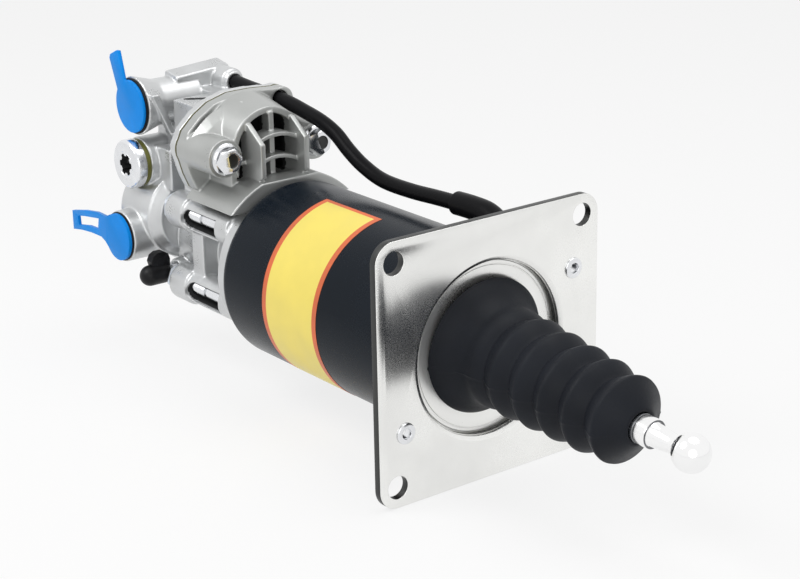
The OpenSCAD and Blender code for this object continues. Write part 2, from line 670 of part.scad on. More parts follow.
// Screw plug with a socket for a star driver
module screw_plug() {
    washer_t = 2.6;
    face = -plug_y - washer_t - 6;
    color("gainsboro") difference() {
        union() {
            yrod(face + 1, -plug_y - washer_t, 13.3, -port_x, plug_z);
            translate([-port_x, face + 1, plug_z]) rotate([90, 0, 0]) cylinder(h = 1, r1 = 13.3, r2 = 12.3);
            yrod(-plug_y - washer_t - 0.5, -18, 9, -port_x, plug_z);
        }
        translate([-port_x, face + 5, plug_z]) rotate([90, 0, 0]) linear_extrude(8) {
            circle(r = 4.2);
            for (a = [0 : 60 : 120]) rotate(a) square([11, 3], center = true);
        }
    }
}

module plug_washer() {
    washer_t = 2.6;
    color("#6b6a35") difference() {
        yrod(-plug_y - washer_t, -plug_y, 12.8, -port_x, plug_z);
        yrod(-plug_y - washer_t - cut, -plug_y + cut, 9, -port_x, plug_z);
    }
}

// Transport plug in the air port, with a plain strap that leans back
module air_port_plug() {
    disc_t = 1.8;
    face = -air_y - 1.2 - disc_t;
    k = air_r / 16.5;
    color("dodgerblue") {
        yrod(face, face + disc_t, 14.2, -port_x, air_z);
        yrod(face + disc_t - 0.1, -air_y + 9, 8, -port_x, air_z);
        translate([-port_x, face + disc_t, air_z]) rotate([90, 0, 0]) linear_extrude(disc_t)
            polygon(k * [[-12, 7], [-18.6, 23.5], [-17.6, 25.6], [-11, 28.6], [-8.4, 28.9], [-4, 13]]);
    }
}

module air_port_ring() {
    color("#20232e") difference() {
        yrod(-air_y - 1.2, -air_y, 15, -port_x, air_z);
        yrod(-air_y - 1.2 - cut, -air_y + cut, 8.4, -port_x, air_z);
    }
}

// Transport plug in the fluid port, with a looped pull tab
module fluid_port_plug() {
    disc_t = 1.8;
    face = -fluid_y - 1 - disc_t;
    k = fluid_r / 14;
    color("dodgerblue") {
        yrod(face, face + disc_t, 12.8, -port_x, fluid_z);
        yrod(face + disc_t - 0.1, -fluid_y + 8, 6.5, -port_x, fluid_z);
        translate([-port_x, face + disc_t, fluid_z]) rotate([90, 0, 0]) linear_extrude(disc_t) difference() {
            polygon(k * [[-7, 11], [-11, 9], [-20.7, 9.2], [-33.7, 7.3], [-48.7, 4], [-48.7, -6.8], [-39, -5.1],
                         [-28.3, -4.1], [-17.6, -3.9], [-13.3, -5.5], [-10, -8]]);
            polygon(k * [[-42.8, 2.2], [-34.7, 3.8], [-19.2, 6], [-20.7, -0.5], [-30.4, -0.8], [-42.3, -3]]);
        }
    }
}

module fluid_port_ring() {
    color("#20232e") difference() {
        yrod(-fluid_y - 1, -fluid_y, 13.4, -port_x, fluid_z);
        yrod(-fluid_y - 1 - cut, -fluid_y + cut, 6.9, -port_x, fluid_z);
    }
}

module bleed_screw() {
    color("silver") difference() {
        union() {
            yrod(-24.3, -13, 3.5, -bleed_x, bleed_z);
            translate([-bleed_x, -24.3, bleed_z]) rotate([90, 0, 0]) cylinder(h = 5, r = 8 / sqrt(3), $fn = 6);
            yrod(-34, -29, 2.6, -bleed_x, bleed_z);
            yrod(-37, -34, 3.2, -bleed_x, bleed_z);
        }
        yrod(-38, -20, 1, -bleed_x, bleed_z);
    }
}

// Rubber cap on the bleed screw, with a strap arched back to a ring round the neck
module bleed_cap() {
    color("#202020") difference() {
        union() {
            yrod(-40, -31.6, 5.6, -bleed_x, bleed_z);
            translate([-bleed_x, -40, bleed_z]) sphere(r = 5.6);
            yrod(-31.3, -29.5, 5.2, -bleed_x, bleed_z);
            translate([-bleed_x - 2.6, 0, bleed_z]) rotate([90, 0, 90]) linear_extrude(5.2)
                polygon([[-39, 4], [-40, 8], [-38.6, 11], [-36, 12.4], [-32, 12.4], [-29.6, 11], [-28.6, 8], [-28.8, 4],
                         [-31, 4], [-31.2, 7.4], [-32.4, 9.2], [-35.4, 9.2], [-36.6, 7.4], [-36.4, 4]]);
        }
        yrod(-38, -29, 3.6, -bleed_x, bleed_z);
    }
}

// Vent pipe from the valve along the cylinder
pipe_low_z = 52.5;
pipe_route = [[-port_x + 10, pipe_y, pipe_z], [-port_x + 21, pipe_y, pipe_z], [-222, pipe_y, pipe_z - 0.7],
    [-cover_x - 2, pipe_y, pipe_cover_z + 0.2], [-186, pipe_y, pipe_cover_z - 0.9], [-172, pipe_y, pipe_cover_z - 2.8],
    [-157, pipe_y, pipe_cover_z - 5.4], [-145, pipe_y, pipe_cover_z - 9.4], [-134, pipe_y, pipe_cover_z - 16],
    [-122, pipe_y, pipe_low_z + 4.6], [-106, pipe_y, pipe_low_z + 0.6], [-84, pipe_y, pipe_low_z + 0.2],
    [-62, pipe_y, pipe_low_z + 1.4], [-38, pipe_y, pipe_low_z + 2.4]];
module vent_pipe() {
    color("#1d1e22") sweep(spline(pipe_route, 3), pipe_d / 2, 16, [0, 1, 0]);
}

// Rubber sleeve that turns into the nipple behind the plate
sleeve_route = [[-48, pipe_y, pipe_low_z + 2.1], [-38, pipe_y, pipe_low_z + 2.4], [-27, pipe_y, pipe_low_z + 2],
    [-20, 19.4, 52.6], [-17, 18.4, 50.4], [-16, 17.4, 47.9]];
module pipe_sleeve() {
    color("#1d1e22") difference() {
        sweep(spline(sleeve_route, 3), pipe_d / 2 + 2, 16, [0, 1, 0]);
        sweep(spline(pipe_route, 3), pipe_d / 2 + 0.02, 16, [0, 1, 0]);
    }
}

module vent_nipple() {
    color("silver") difference() {
        vent_drill(3.3);
        vent_drill(1.8);
    }
}

// Control piston with its stem
control_back = -cover_x - 28.5;
module control_piston() {
    color("lightsteelblue") difference() {
        union() {
            xrod(control_back, control_back + 10, control_d / 2, valve_y, valve_z);
            xrod(control_back + 9, -cover_x - 5, 5, valve_y, valve_z);
        }
        translate([0, valve_y, valve_z]) xturned([[control_back + 4, control_d / 2 - 2],
            [control_back + 4, control_d / 2 + cut], [control_back + 7, control_d / 2 + cut],
            [control_back + 7, control_d / 2 - 2]]);
    }
}

module control_seal() {
    color("#202020") translate([0, valve_y, valve_z]) xturned([[control_back + 4, control_d / 2 - 2],
        [control_back + 4, control_d / 2], [control_back + 7, control_d / 2], [control_back + 7, control_d / 2 - 2]]);
}

module control_spring() {
    color("gray") translate([0, valve_y, valve_z]) sweep(coil_path(control_back + 11.1, -cover_x - 0.1, 12, 3, 16),
        1, 6, [1, 0, 0]);
}

// Rubber flap behind the grille
module exhaust_flap() {
    color("#2a2a2a") translate([0, valve_y, valve_z]) {
        xrod(-dome_x - 21.9, -dome_x - 20.4, 13);
        xcone(-dome_x - 20.5, -dome_x - 18, 4, 3);
    }
}

flange_plate();
locating_bushes();
cylinder_shell();
front_ring();
dust_boot();
piston();
piston_seal();
guide_band();
preload_spring();
plunger();
plunger_seal();
gland_bush();
gland_seal();
rod_retainer();
push_rod();
ball_end();
main_casting();
body_seal();
tie_bolts();
valve_cover();
cover_gasket();
cover_bolts();
screw_plug();
plug_washer();
air_port_plug();
air_port_ring();
fluid_port_plug();
fluid_port_ring();
bleed_screw();
bleed_cap();
vent_pipe();
pipe_sleeve();
vent_nipple();
control_piston();
control_seal();
control_spring();
exhaust_flap();
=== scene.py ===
"""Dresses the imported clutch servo: new surfaces over the solids, finishes, light and camera."""

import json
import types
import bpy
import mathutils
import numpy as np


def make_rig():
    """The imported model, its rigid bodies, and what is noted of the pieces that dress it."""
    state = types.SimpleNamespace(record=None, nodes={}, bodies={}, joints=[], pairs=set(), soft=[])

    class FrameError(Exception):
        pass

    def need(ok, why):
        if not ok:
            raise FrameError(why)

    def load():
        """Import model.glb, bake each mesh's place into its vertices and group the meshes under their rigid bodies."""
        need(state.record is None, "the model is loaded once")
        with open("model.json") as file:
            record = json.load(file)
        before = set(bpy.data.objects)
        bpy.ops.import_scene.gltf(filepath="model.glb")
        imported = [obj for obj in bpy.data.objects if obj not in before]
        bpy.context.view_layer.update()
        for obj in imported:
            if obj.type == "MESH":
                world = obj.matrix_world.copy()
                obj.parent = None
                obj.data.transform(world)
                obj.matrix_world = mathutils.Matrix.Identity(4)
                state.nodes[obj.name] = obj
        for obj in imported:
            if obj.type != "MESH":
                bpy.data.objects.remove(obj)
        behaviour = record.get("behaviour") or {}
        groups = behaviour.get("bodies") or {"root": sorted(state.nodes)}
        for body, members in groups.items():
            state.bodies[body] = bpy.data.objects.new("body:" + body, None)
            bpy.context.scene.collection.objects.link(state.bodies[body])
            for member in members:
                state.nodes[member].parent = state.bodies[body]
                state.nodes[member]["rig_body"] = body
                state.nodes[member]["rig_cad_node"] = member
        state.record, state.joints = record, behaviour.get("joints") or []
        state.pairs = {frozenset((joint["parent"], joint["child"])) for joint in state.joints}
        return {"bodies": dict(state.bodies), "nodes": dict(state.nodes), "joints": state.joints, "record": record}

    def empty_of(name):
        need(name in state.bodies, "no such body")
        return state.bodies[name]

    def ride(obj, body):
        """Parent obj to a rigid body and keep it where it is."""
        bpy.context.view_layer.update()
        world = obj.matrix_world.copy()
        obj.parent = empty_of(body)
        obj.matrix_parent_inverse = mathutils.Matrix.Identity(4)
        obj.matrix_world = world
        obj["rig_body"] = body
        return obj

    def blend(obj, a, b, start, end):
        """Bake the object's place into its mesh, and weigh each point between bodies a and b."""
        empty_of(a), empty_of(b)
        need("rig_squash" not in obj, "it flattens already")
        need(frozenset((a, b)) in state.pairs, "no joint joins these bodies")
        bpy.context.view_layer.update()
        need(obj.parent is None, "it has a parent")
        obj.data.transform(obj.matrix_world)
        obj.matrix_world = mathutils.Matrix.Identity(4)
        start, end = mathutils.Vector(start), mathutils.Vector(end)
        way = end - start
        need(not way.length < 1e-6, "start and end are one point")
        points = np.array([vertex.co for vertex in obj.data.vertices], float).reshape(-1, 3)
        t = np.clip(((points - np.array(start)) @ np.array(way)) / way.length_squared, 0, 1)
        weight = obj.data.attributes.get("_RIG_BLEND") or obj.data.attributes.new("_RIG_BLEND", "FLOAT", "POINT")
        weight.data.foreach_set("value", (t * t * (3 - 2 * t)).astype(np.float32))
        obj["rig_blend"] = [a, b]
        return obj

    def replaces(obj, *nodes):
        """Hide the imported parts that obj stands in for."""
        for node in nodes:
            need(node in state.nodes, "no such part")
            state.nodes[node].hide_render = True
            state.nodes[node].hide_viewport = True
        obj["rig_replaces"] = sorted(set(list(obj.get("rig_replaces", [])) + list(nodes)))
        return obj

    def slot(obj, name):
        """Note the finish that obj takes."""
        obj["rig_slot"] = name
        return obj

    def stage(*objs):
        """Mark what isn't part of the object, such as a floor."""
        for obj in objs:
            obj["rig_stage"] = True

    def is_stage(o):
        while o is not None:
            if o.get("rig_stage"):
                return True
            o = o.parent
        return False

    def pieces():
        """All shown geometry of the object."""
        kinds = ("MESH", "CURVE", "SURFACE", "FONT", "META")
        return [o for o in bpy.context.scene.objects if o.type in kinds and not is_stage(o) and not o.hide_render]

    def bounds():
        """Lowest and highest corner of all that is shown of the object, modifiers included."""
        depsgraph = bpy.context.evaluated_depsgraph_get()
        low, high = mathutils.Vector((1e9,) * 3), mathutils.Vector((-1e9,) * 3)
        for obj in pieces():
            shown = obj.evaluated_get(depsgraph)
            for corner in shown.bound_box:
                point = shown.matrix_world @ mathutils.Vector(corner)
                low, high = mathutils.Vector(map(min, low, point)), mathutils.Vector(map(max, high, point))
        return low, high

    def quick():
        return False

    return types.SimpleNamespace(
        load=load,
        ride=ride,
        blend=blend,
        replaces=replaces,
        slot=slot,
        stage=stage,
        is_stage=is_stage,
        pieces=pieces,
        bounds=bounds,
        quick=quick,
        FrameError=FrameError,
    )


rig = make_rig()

bl_info = {
    "name": "Clutch servo",
    "version": (1, 0, 0),
    "blender": (4, 5, 0),
    "location": "3D View > Sidebar > Servo",
    "description": "Builds the surfaces, finishes and studio of an air assisted clutch servo",
    "category": "Object",
}

import json
from math import atan2, cos, degrees, hypot, pi, radians, sin

import bpy
from bpy.props import FloatProperty, FloatVectorProperty, IntProperty, PointerProperty
from mathutils import Matrix, Vector

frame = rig.load()
CAD_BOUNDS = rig.bounds()
MM = 0.001
WHITE = (1, 1, 1, 1)

# Main places of the solids in millimetres, as the part's source has them
PIVOT_X = -36
ROD_TILT = radians(3.1)
SHELL_R = 46.2
SHELL_BACK = -157
VALVE = (-3, 60)
COVER_BOLT_Y = 27.5
COVER_SEAT_X = -170
TIE_REAR = -222
TIES = [(y, z) for y in (-27, 27) for z in (-18, 22)]
PORT_X = -257
PLUG_Z = 40.5
PIPE_Y = 20


# Settings in the panel

def length_setting(name, about, value, low, high):
    """A length setting with its name, what it is, its value and its limits in mm."""
    return FloatProperty(name=name, description=about, default=value * MM, min=low * MM, max=high * MM,
                         unit="LENGTH")


def colour_setting(name, about, value):
    """A colour setting with its name, what it is on and its value."""
    return FloatVectorProperty(name=name, description=about, subtype="COLOR", default=value, min=0, max=1)


class ServoSizes(bpy.types.PropertyGroup):
    """Sizes that can be changed without leaving the solids"""
    edge: length_setting("Edge round", "Round on the plate's edges", 0.5, 0.1, 1)
    cast_voxel: length_setting("Casting detail", "Cell size when a casting's edges are melted round",
                               0.6, 0.4, 2)
    cast_melt: IntProperty(name="Casting melt", description="Smoothing steps on a casting", default=4,
                           min=1, max=20)
    label_border: length_setting("Label border", "Width of the label's border", 2.2, 0.5, 5)
    thread_pitch: length_setting("Thread pitch", "Pitch of the bolts' threads", 1.25, 0.8, 2)
    floor_gap: length_setting("Floor gap", "Gap between the lowest point and the floor", 0.2, 0, 5)


class ServoColours(bpy.types.PropertyGroup):
    """Colours of the servo's finishes"""
    zinc: colour_setting("Zinc", "Plate and ring", (0.91, 0.91, 0.89))
    paint: colour_setting("Paint", "Cylinder shell", (0.004, 0.008, 0.014))
    boot: colour_setting("Boot", "Bellows boot", (0.012, 0.014, 0.019))
    cast: colour_setting("Casting", "Main casting", (0.63, 0.64, 0.645))
    cover: colour_setting("Cover", "Valve cover", (0.45, 0.46, 0.45))
    bolt: colour_setting("Bolt", "Bolts and screw plug", (0.82, 0.83, 0.85))
    chrome: colour_setting("Chrome", "Push rod", (0.93, 0.93, 0.93))
    blue: colour_setting("Blue", "Transport plugs", (0.003, 0.280, 0.860))
    olive: colour_setting("Olive", "Washer", (0.150, 0.150, 0.028))
    gasket: colour_setting("Gasket", "Cover gasket", (0.120, 0.115, 0.055))
    rubber: colour_setting("Rubber", "Pipe, cap and seals", (0.006, 0.006, 0.007))
    label: colour_setting("Label", "Label on the cylinder", (0.930, 0.760, 0.150))
    border: colour_setting("Border", "Border of the label", (0.730, 0.140, 0.040))


# Tools shared by the pieces

def deselect():
    """Leaves edit mode and selects nothing."""
    if bpy.context.mode != "OBJECT":
        bpy.ops.object.mode_set(mode="OBJECT")
    bpy.ops.object.select_all(action="DESELECT")


def hold(piece):
    """Selects one piece and makes it active."""
    deselect()
    piece.select_set(True)
    bpy.context.view_layer.objects.active = piece


def place(piece, at=(0, 0, 0), turn=(0, 0, 0)):
    """Turns a piece and moves it, in mm, then puts its place into its mesh."""
    hold(piece)
    piece.rotation_euler = turn
    piece.location = [v * MM for v in at]
    bpy.ops.object.transform_apply(location=True, rotation=True, scale=True)
    return piece


def applied(piece, kind, **values):
    """Adds a modifier with these values and applies it."""
    hold(piece)
    step = piece.modifiers.new(kind.title(), kind)
    for key, value in values.items():
        setattr(step, key, value)
    bpy.ops.object.modifier_apply(modifier=step.name)
    return piece


def cleaned(piece, gap=0.01):
    """Merges points closer than a gap in mm, and points the faces outwards."""
    hold(piece)
    bpy.ops.object.mode_set(mode="EDIT")
    bpy.ops.mesh.select_all(action="SELECT")
    bpy.ops.mesh.remove_doubles(threshold=gap * MM)
    bpy.ops.mesh.normals_make_consistent(inside=False)
    bpy.ops.object.mode_set(mode="OBJECT")
    return piece


def joined(pieces):
    """Makes several pieces one."""
    deselect()
    for piece in pieces:
        piece.select_set(True)
    bpy.context.view_layer.objects.active = pieces[0]
    bpy.ops.object.join()
    return pieces[0]


def copied(piece):
    """A copy of a piece with its own mesh."""
    twin = piece.copy()
    twin.data = piece.data.copy()
    bpy.context.collection.objects.link(twin)
    return twin


def settle(piece, name, body, slot, nodes=(), look=None, angle=35):
    """Gives a piece its name, slot, body, finish or other look, and the solids that it stands for."""
    hold(piece)
    bpy.ops.object.shade_smooth_by_angle(angle=radians(angle))
    piece.name = name
    piece.data.name = name
    piece.data.materials.clear()
    piece.data.materials.append(FINISHES[look or slot])
    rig.slot(piece, slot)
    if nodes:
        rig.replaces(piece, *nodes)
    if body:
        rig.ride(piece, body)
    return piece


def second_finish(piece, name, chosen):
    """Gives a finish of their own to the faces that a test chooses."""
    piece.data.materials.append(FINISHES[name])
    index = len(piece.data.materials) - 1
    for face in piece.data.polygons:
        if chosen(face):
            face.material_index = index


def from_solid(node_name, gap=0.004, flat=0.5):
    """A copy of a solid. Points within a gap in mm are merged, and faces flat to some degrees made whole."""
    source = frame["nodes"][node_name]
    piece = bpy.data.objects.new(node_name + "_copy", source.data.copy())
    bpy.context.collection.objects.link(piece)
    hold(piece)
    bpy.ops.object.mode_set(mode="EDIT")
    bpy.ops.mesh.select_all(action="SELECT")
    bpy.ops.mesh.remove_doubles(threshold=gap * MM)
    bpy.ops.mesh.dissolve_limited(angle_limit=radians(flat))
    bpy.ops.object.mode_set(mode="OBJECT")
    return piece


def rounded(piece, size=0.5, steps=2, angle=30):
    """Rounds a piece's edges, size in mm, where they are sharper than an angle in degrees."""
    return applied(piece, "BEVEL", width=size * MM, segments=steps, limit_method="ANGLE",
                   angle_limit=radians(angle), harden_normals=False, miter_outer="MITER_ARC")


# Where an outline meets the axis, its ring starts this small and is then merged to a point
TIP_R = 0.02
TIP_GAP = 0.05


def turned(outline, sides=96, at=(0, 0, 0), turn=(0, 0, 0)):
    """Turns an outline of (x, radius) points in mm about the X axis, then places it."""
    deselect()
    x, r = outline[0]
    r = max(r, TIP_R)
    bpy.ops.mesh.primitive_circle_add(vertices=sides, radius=r * MM, location=(x * MM, 0, 0),
                                      rotation=(0, pi / 2, 0))
    piece = bpy.context.object
    bpy.ops.object.transform_apply(location=True, rotation=True, scale=True)
    bpy.ops.object.mode_set(mode="EDIT")
    bpy.ops.mesh.select_mode(type="EDGE")
    bpy.ops.mesh.select_all(action="SELECT")
    for x1, r1 in outline[1:]:
        r1 = max(r1, TIP_R)
        bpy.ops.mesh.extrude_edges_move(TRANSFORM_OT_translate={"value": ((x1 - x) * MM, 0, 0)})
        bpy.ops.transform.resize(value=(1, r1 / r, r1 / r), center_override=(x1 * MM, 0, 0))
        x, r = x1, r1
    bpy.ops.object.mode_set(mode="OBJECT")
    cleaned(piece, TIP_GAP)
    return place(piece, at, turn)


def cylinder(x0, x1, r, sides=64):
    """A closed bar along X."""
    return turned([(x0, 0), (x0, r), (x1, r), (x1, 0)], sides)


def block(size, at, turn=0):
    """A box of a size in mm about a place in mm, turned about the X axis."""
    deselect()
    bpy.ops.mesh.primitive_cube_add(size=1, location=[v * MM for v in at], rotation=(turn, 0, 0))
    piece = bpy.context.object
    piece.scale = [v * MM for v in size]
    bpy.ops.object.transform_apply(location=True, rotation=True, scale=True)
    return piece


def cut(piece, tool, kind="DIFFERENCE"):
    """Cuts a piece with a tool, or joins or keeps what they share, and removes the tool."""
    applied(piece, "BOOLEAN", object=tool, operation=kind, solver="EXACT")
    bpy.data.objects.remove(tool)
    return piece


def curve_points(points, steps):
    """Points on the smooth curve through the chosen ones."""
    out = []
    for i in range(len(points) - 1):
        p0, p1 = Vector(points[max(i - 1, 0)]), Vector(points[i])
        p2, p3 = Vector(points[i + 1]), Vector(points[min(i + 2, len(points) - 1)])
        for k in range(steps):
            t = k / steps
            out.append(0.5 * (2 * p1 + (p2 - p0) * t + (2 * p0 - 5 * p1 + 4 * p2 - p3) * t * t
                              + (3 * p1 - p0 - 3 * p2 + p3) * t ** 3))
    return out + [Vector(points[-1])]


def tube(points, radius, steps=8, roundness=10):
    """A round tube along a curve through points in mm."""
    deselect()
    line = bpy.data.curves.new("tube", "CURVE")
    line.dimensions = "3D"
    spline = line.splines.new("POLY")
    path = curve_points(points, steps)
    spline.points.add(len(path) - 1)
    for knot, p in zip(spline.points, path):
        knot.co = (*(p * MM), 1)
    line.bevel_depth = radius * MM
    line.bevel_resolution = roundness
    line.use_fill_caps = True
    piece = bpy.data.objects.new("tube", line)
    bpy.context.collection.objects.link(piece)
    hold(piece)
    bpy.ops.object.convert(target="MESH")
    return cleaned(bpy.context.object, 0.005)


# Finishes

FINISHES = {}


def node(tree, kind, inputs=None, **settings):
    """Adds a shader node, sets its properties, and fills or links its inputs."""
    made = tree.nodes.new("ShaderNode" + kind)
    for key, value in settings.items():
        setattr(made, key, value)
    for key, value in (inputs or {}).items():
        if isinstance(value, bpy.types.NodeSocket):
            tree.links.new(value, made.inputs[key])
        else:
            made.inputs[key].default_value = value
    return made


def maths(tree, operation, first, second=0.5):
    """Works a value out of one or two others."""
    return node(tree, "Math", {0: first, 1: second}, operation=operation).outputs[0]


def noise(tree, at, scale, detail=4, roughness=0.6):
    """Soft noise over the object's own coordinates."""
    inputs = {"Vector": at, "Scale": scale, "Detail": detail, "Roughness": roughness}
    return node(tree, "TexNoise", inputs).outputs["Fac"]


def spread(tree, value, low, high, start=0.35, end=0.65):
    """Maps a noise value onto a range."""
    inputs = {"Value": value, "From Min": start, "From Max": end, "To Min": low, "To Max": high}
    return node(tree, "MapRange", inputs).outputs[0]


def blended(tree, factor, first, second):
    """Mixes two colours. The Mix node has its factor at input 0 and its colours at 6 and 7."""
    return node(tree, "Mix", {0: factor, 6: first, 7: second}, data_type="RGBA").outputs[2]


def tinted(colour, factor=1):
    """A colour made darker or lighter, with its alpha."""
    return (*[min(1, c * factor) for c in colour[:3]], 1)


def blank(name):
    """A new material with its tree, its shader and the object's own coordinates."""
    made = bpy.data.materials.new(name)
    made.use_nodes = True
    tree = made.node_tree
    return made, tree, tree.nodes["Principled BSDF"], node(tree, "TexCoord").outputs["Object"]


def finish(name, colour, metallic=0, roughness=0.4, shade=0.8, cloud=60, grit=1500, bump=0.2, depth=0.05,
           vary=0.06, wear_and_highlight=0, wear_and_highlight_colour=WHITE, **sockets):
    """A finish with clouded colour, uneven gloss, a fine grain of a depth in mm, and edges painted lighter, partly as
    wear and partly as a painted edge highlight.
    """
    made, tree, shader, place_of = blank(name)
    clouds = noise(tree, place_of, cloud)
    grain = noise(tree, place_of, grit, 3)
    base = blended(tree, spread(tree, clouds, 0, 1), tinted(colour, shade), tinted(colour))
    # Sharp edges, found by pointiness, are painted lighter: partly wear, partly a painted edge highlight
    if wear_and_highlight:
        edges = node(tree, "NewGeometry").outputs["Pointiness"]
        worn_and_lit = maths(tree, "MULTIPLY", spread(tree, edges, 0, wear_and_highlight, 0.52, 0.58), spread(tree, grain, 0.6, 1))
        base = blended(tree, worn_and_lit, base, tinted(wear_and_highlight_colour))
    tree.links.new(base, shader.inputs["Base Color"])
    gloss = maths(tree, "ADD", spread(tree, clouds, roughness - vary, roughness + vary),
                  spread(tree, grain, -vary / 2, vary / 2))
    tree.links.new(gloss, shader.inputs["Roughness"])
    relief = node(tree, "Bump", {"Height": grain, "Strength": bump, "Distance": depth * MM}).outputs[0]
    tree.links.new(relief, shader.inputs["Normal"])
    shader.inputs["Metallic"].default_value = metallic
    for key, value in sockets.items():
        shader.inputs[key.replace("_", " ")].default_value = value
    return made


def make_finishes():
    """All the finishes, from the colours in the panel."""
    c = bpy.context.scene.servo_colours
    FINISHES.update({
        "zinc_steel": finish("zinc plate", c.zinc, metallic=1, roughness=0.24, shade=0.90, cloud=14,
                             bump=0.008, vary=0.05),
        "ring_zinc": finish("ring zinc", c.zinc, metallic=0.9, roughness=0.30, shade=0.92, cloud=14,
                            bump=0.06, vary=0.05),
        # Pale, nearly matt zinc with a painted highlight, so that the tie bolts' heads look bright
        "zinc_painted_highlight": finish("zinc painted highlight", (0.80, 0.85, 0.92), metallic=0.2, roughness=0.3, shade=0.88,
                            grit=1800, bump=0.10),
        "bolt_steel": finish("bright bolt", c.bolt, metallic=1, roughness=0.20, shade=0.88, grit=1800,
                             bump=0.10),
        # A darker copy of the bolt steel: painted shade on the cover bolts' flats and in the rod's groove and step
        "bolt_painted_shade": finish("bolt painted shade", (0.20, 0.205, 0.215), metallic=0.9, roughness=0.25, shade=0.6,
                            cloud=120, grit=1800, bump=0.1),
        # Near-black painted shade for the plate's sheared edges and holes, and for the cover bolts' dish
        "edge_painted_shade": finish("painted shade edge", (0.055, 0.056, 0.055), metallic=0.8, roughness=0.42, grit=1200),
        "chrome_steel": finish("polished rod", c.chrome, metallic=1, roughness=0.10, shade=0.96, cloud=30,
                               grit=2000, bump=0.02, depth=0.02, vary=0.03),
        "spring_steel": finish("spring steel", (0.40, 0.40, 0.42), metallic=1, roughness=0.34, bump=0.15),
        "bush_brass": finish("bronze bush", (0.66, 0.46, 0.20), metallic=1, roughness=0.3, shade=0.85,
                             bump=0.1, vary=0.05),
        "cast_aluminium": finish("cast metal", c.cast, metallic=0.68, roughness=0.33, shade=0.86,
                                 cloud=35, grit=1300, bump=0.30, depth=0.12, wear_and_highlight=0.45,
                                 wear_and_highlight_colour=(0.85, 0.86, 0.86)),
        "cover_aluminium": finish("cover metal", c.cover, metallic=0.55, roughness=0.34, shade=0.90,
                                  cloud=30, grit=1300, bump=0.28, depth=0.10, vary=0.05, wear_and_highlight=0.5,
                                  wear_and_highlight_colour=(0.85, 0.86, 0.85)),
        # Near-black painted shade for recesses: the hollow behind the grille, the tie bolts' windows, the slot on the
        # valve body and the plug's socket
        "painted_shade_cast": finish("painted shade hollow", (0.028, 0.029, 0.030), metallic=0.3, roughness=0.5, shade=0.7,
                            grit=1200),
        "piston_aluminium": finish("machined aluminium", (0.70, 0.71, 0.73), metallic=1, roughness=0.3,
                                   shade=0.92, cloud=30, grit=1800, bump=0.1, depth=0.04, vary=0.05),
        "black_paint": finish("black paint", c.paint, roughness=0.27, cloud=20, grit=1400, bump=0.06,
                              vary=0.04, IOR=1.3, Specular_IOR_Level=0.26),
        "boot_rubber": finish("boot rubber", c.boot, roughness=0.50, shade=0.70, cloud=30, grit=1100,
                              bump=0.25, depth=0.08, vary=0.07, IOR=1.32, Specular_IOR_Level=0.30),
        "pipe_rubber": finish("pipe rubber", c.rubber, roughness=0.36, shade=0.75, cloud=30, bump=0.15,
                              IOR=1.3, Specular_IOR_Level=0.15),
        "cap_rubber": finish("cap rubber", c.rubber, roughness=0.42, shade=0.75, IOR=1.3),
        "seal_rubber": finish("seal rubber", c.rubber, roughness=0.5, IOR=1.3),
        "plug_blue": finish("blue plastic", c.blue, roughness=0.38, shade=0.86, cloud=40, bump=0.08,
                            vary=0.05, IOR=1.33, Specular_IOR_Level=0.28),
        "guide_plastic": finish("guide band", (0.42, 0.30, 0.16), roughness=0.55, cloud=50, vary=0.05),
        "washer_olive": finish("olive washer", c.olive, metallic=0.2, roughness=0.45, shade=0.7, cloud=90,
                               bump=0.15, vary=0.05),
        "gasket_fibre": finish("gasket", c.gasket, roughness=0.7, cloud=90, grit=2500, bump=0.3, depth=0.1,
                               vary=0.05),
        "label_film": label_finish(c.label, c.border, bpy.context.scene.servo_sizes.label_border),
    })


# Label on the shell, in mm along X and in degrees from the top. Its long edges have a wider border
LABEL_X = (-118.2, -73.4)
LABEL_ANGLE = (7, 152)
LABEL_LIFT = 0.03
LABEL_THICKNESS = 0.12
LONG_BORDER = 1.5


def label_finish(colour, border, width):
    """A plain printed film with a border, laid out on the piece's own map."""
    made, tree, shader, place_of = blank("label film")
    uv = node(tree, "SeparateXYZ", {0: node(tree, "TexCoord").outputs["UV"]})
    across = (LABEL_X[1] - LABEL_X[0]) * MM
    around = radians(LABEL_ANGLE[1] - LABEL_ANGLE[0]) * SHELL_R * MM
    within = []
    for axis, side, band in ((0, across, LONG_BORDER * width), (1, around, width)):
        away = maths(tree, "ABSOLUTE", maths(tree, "SUBTRACT", uv.outputs[axis], 0.5))
        within.append(maths(tree, "LESS_THAN", away, 0.5 - band / side))
    inside = maths(tree, "MULTIPLY", *within)
    clouds = noise(tree, place_of, 45, roughness=0.5)
    film = blended(tree, spread(tree, clouds, 0, 1), tinted(colour, 0.93), tinted(colour))
    edge = blended(tree, spread(tree, clouds, 0, 1), tinted(border, 0.85), tinted(border, 1.1))
    tree.links.new(blended(tree, inside, edge, film), shader.inputs["Base Color"])
    tree.links.new(spread(tree, clouds, 0.3, 0.42), shader.inputs["Roughness"])
    return made


# Studio, in metres: the floor and how white it looks, the light of the room, and the lamps
FLOOR_SIZE = 8
FLOOR_COLOUR = (0.86, 0.86, 0.86, 1)
FLOOR_GLOW = 0.80
ROOM_LIGHT = 0.38
LAMPS = (
    ("key", (-0.35, -0.75, 0.95), (-0.1, 0, 0), 0.7, 6.5),
    ("fill", (0.9, -0.6, 0.35), (0, 0, 0), 0.8, 2.6),
    ("top", (0.1, 0.25, 1.0), (-0.1, 0, 0), 0.8, 3.6),
)

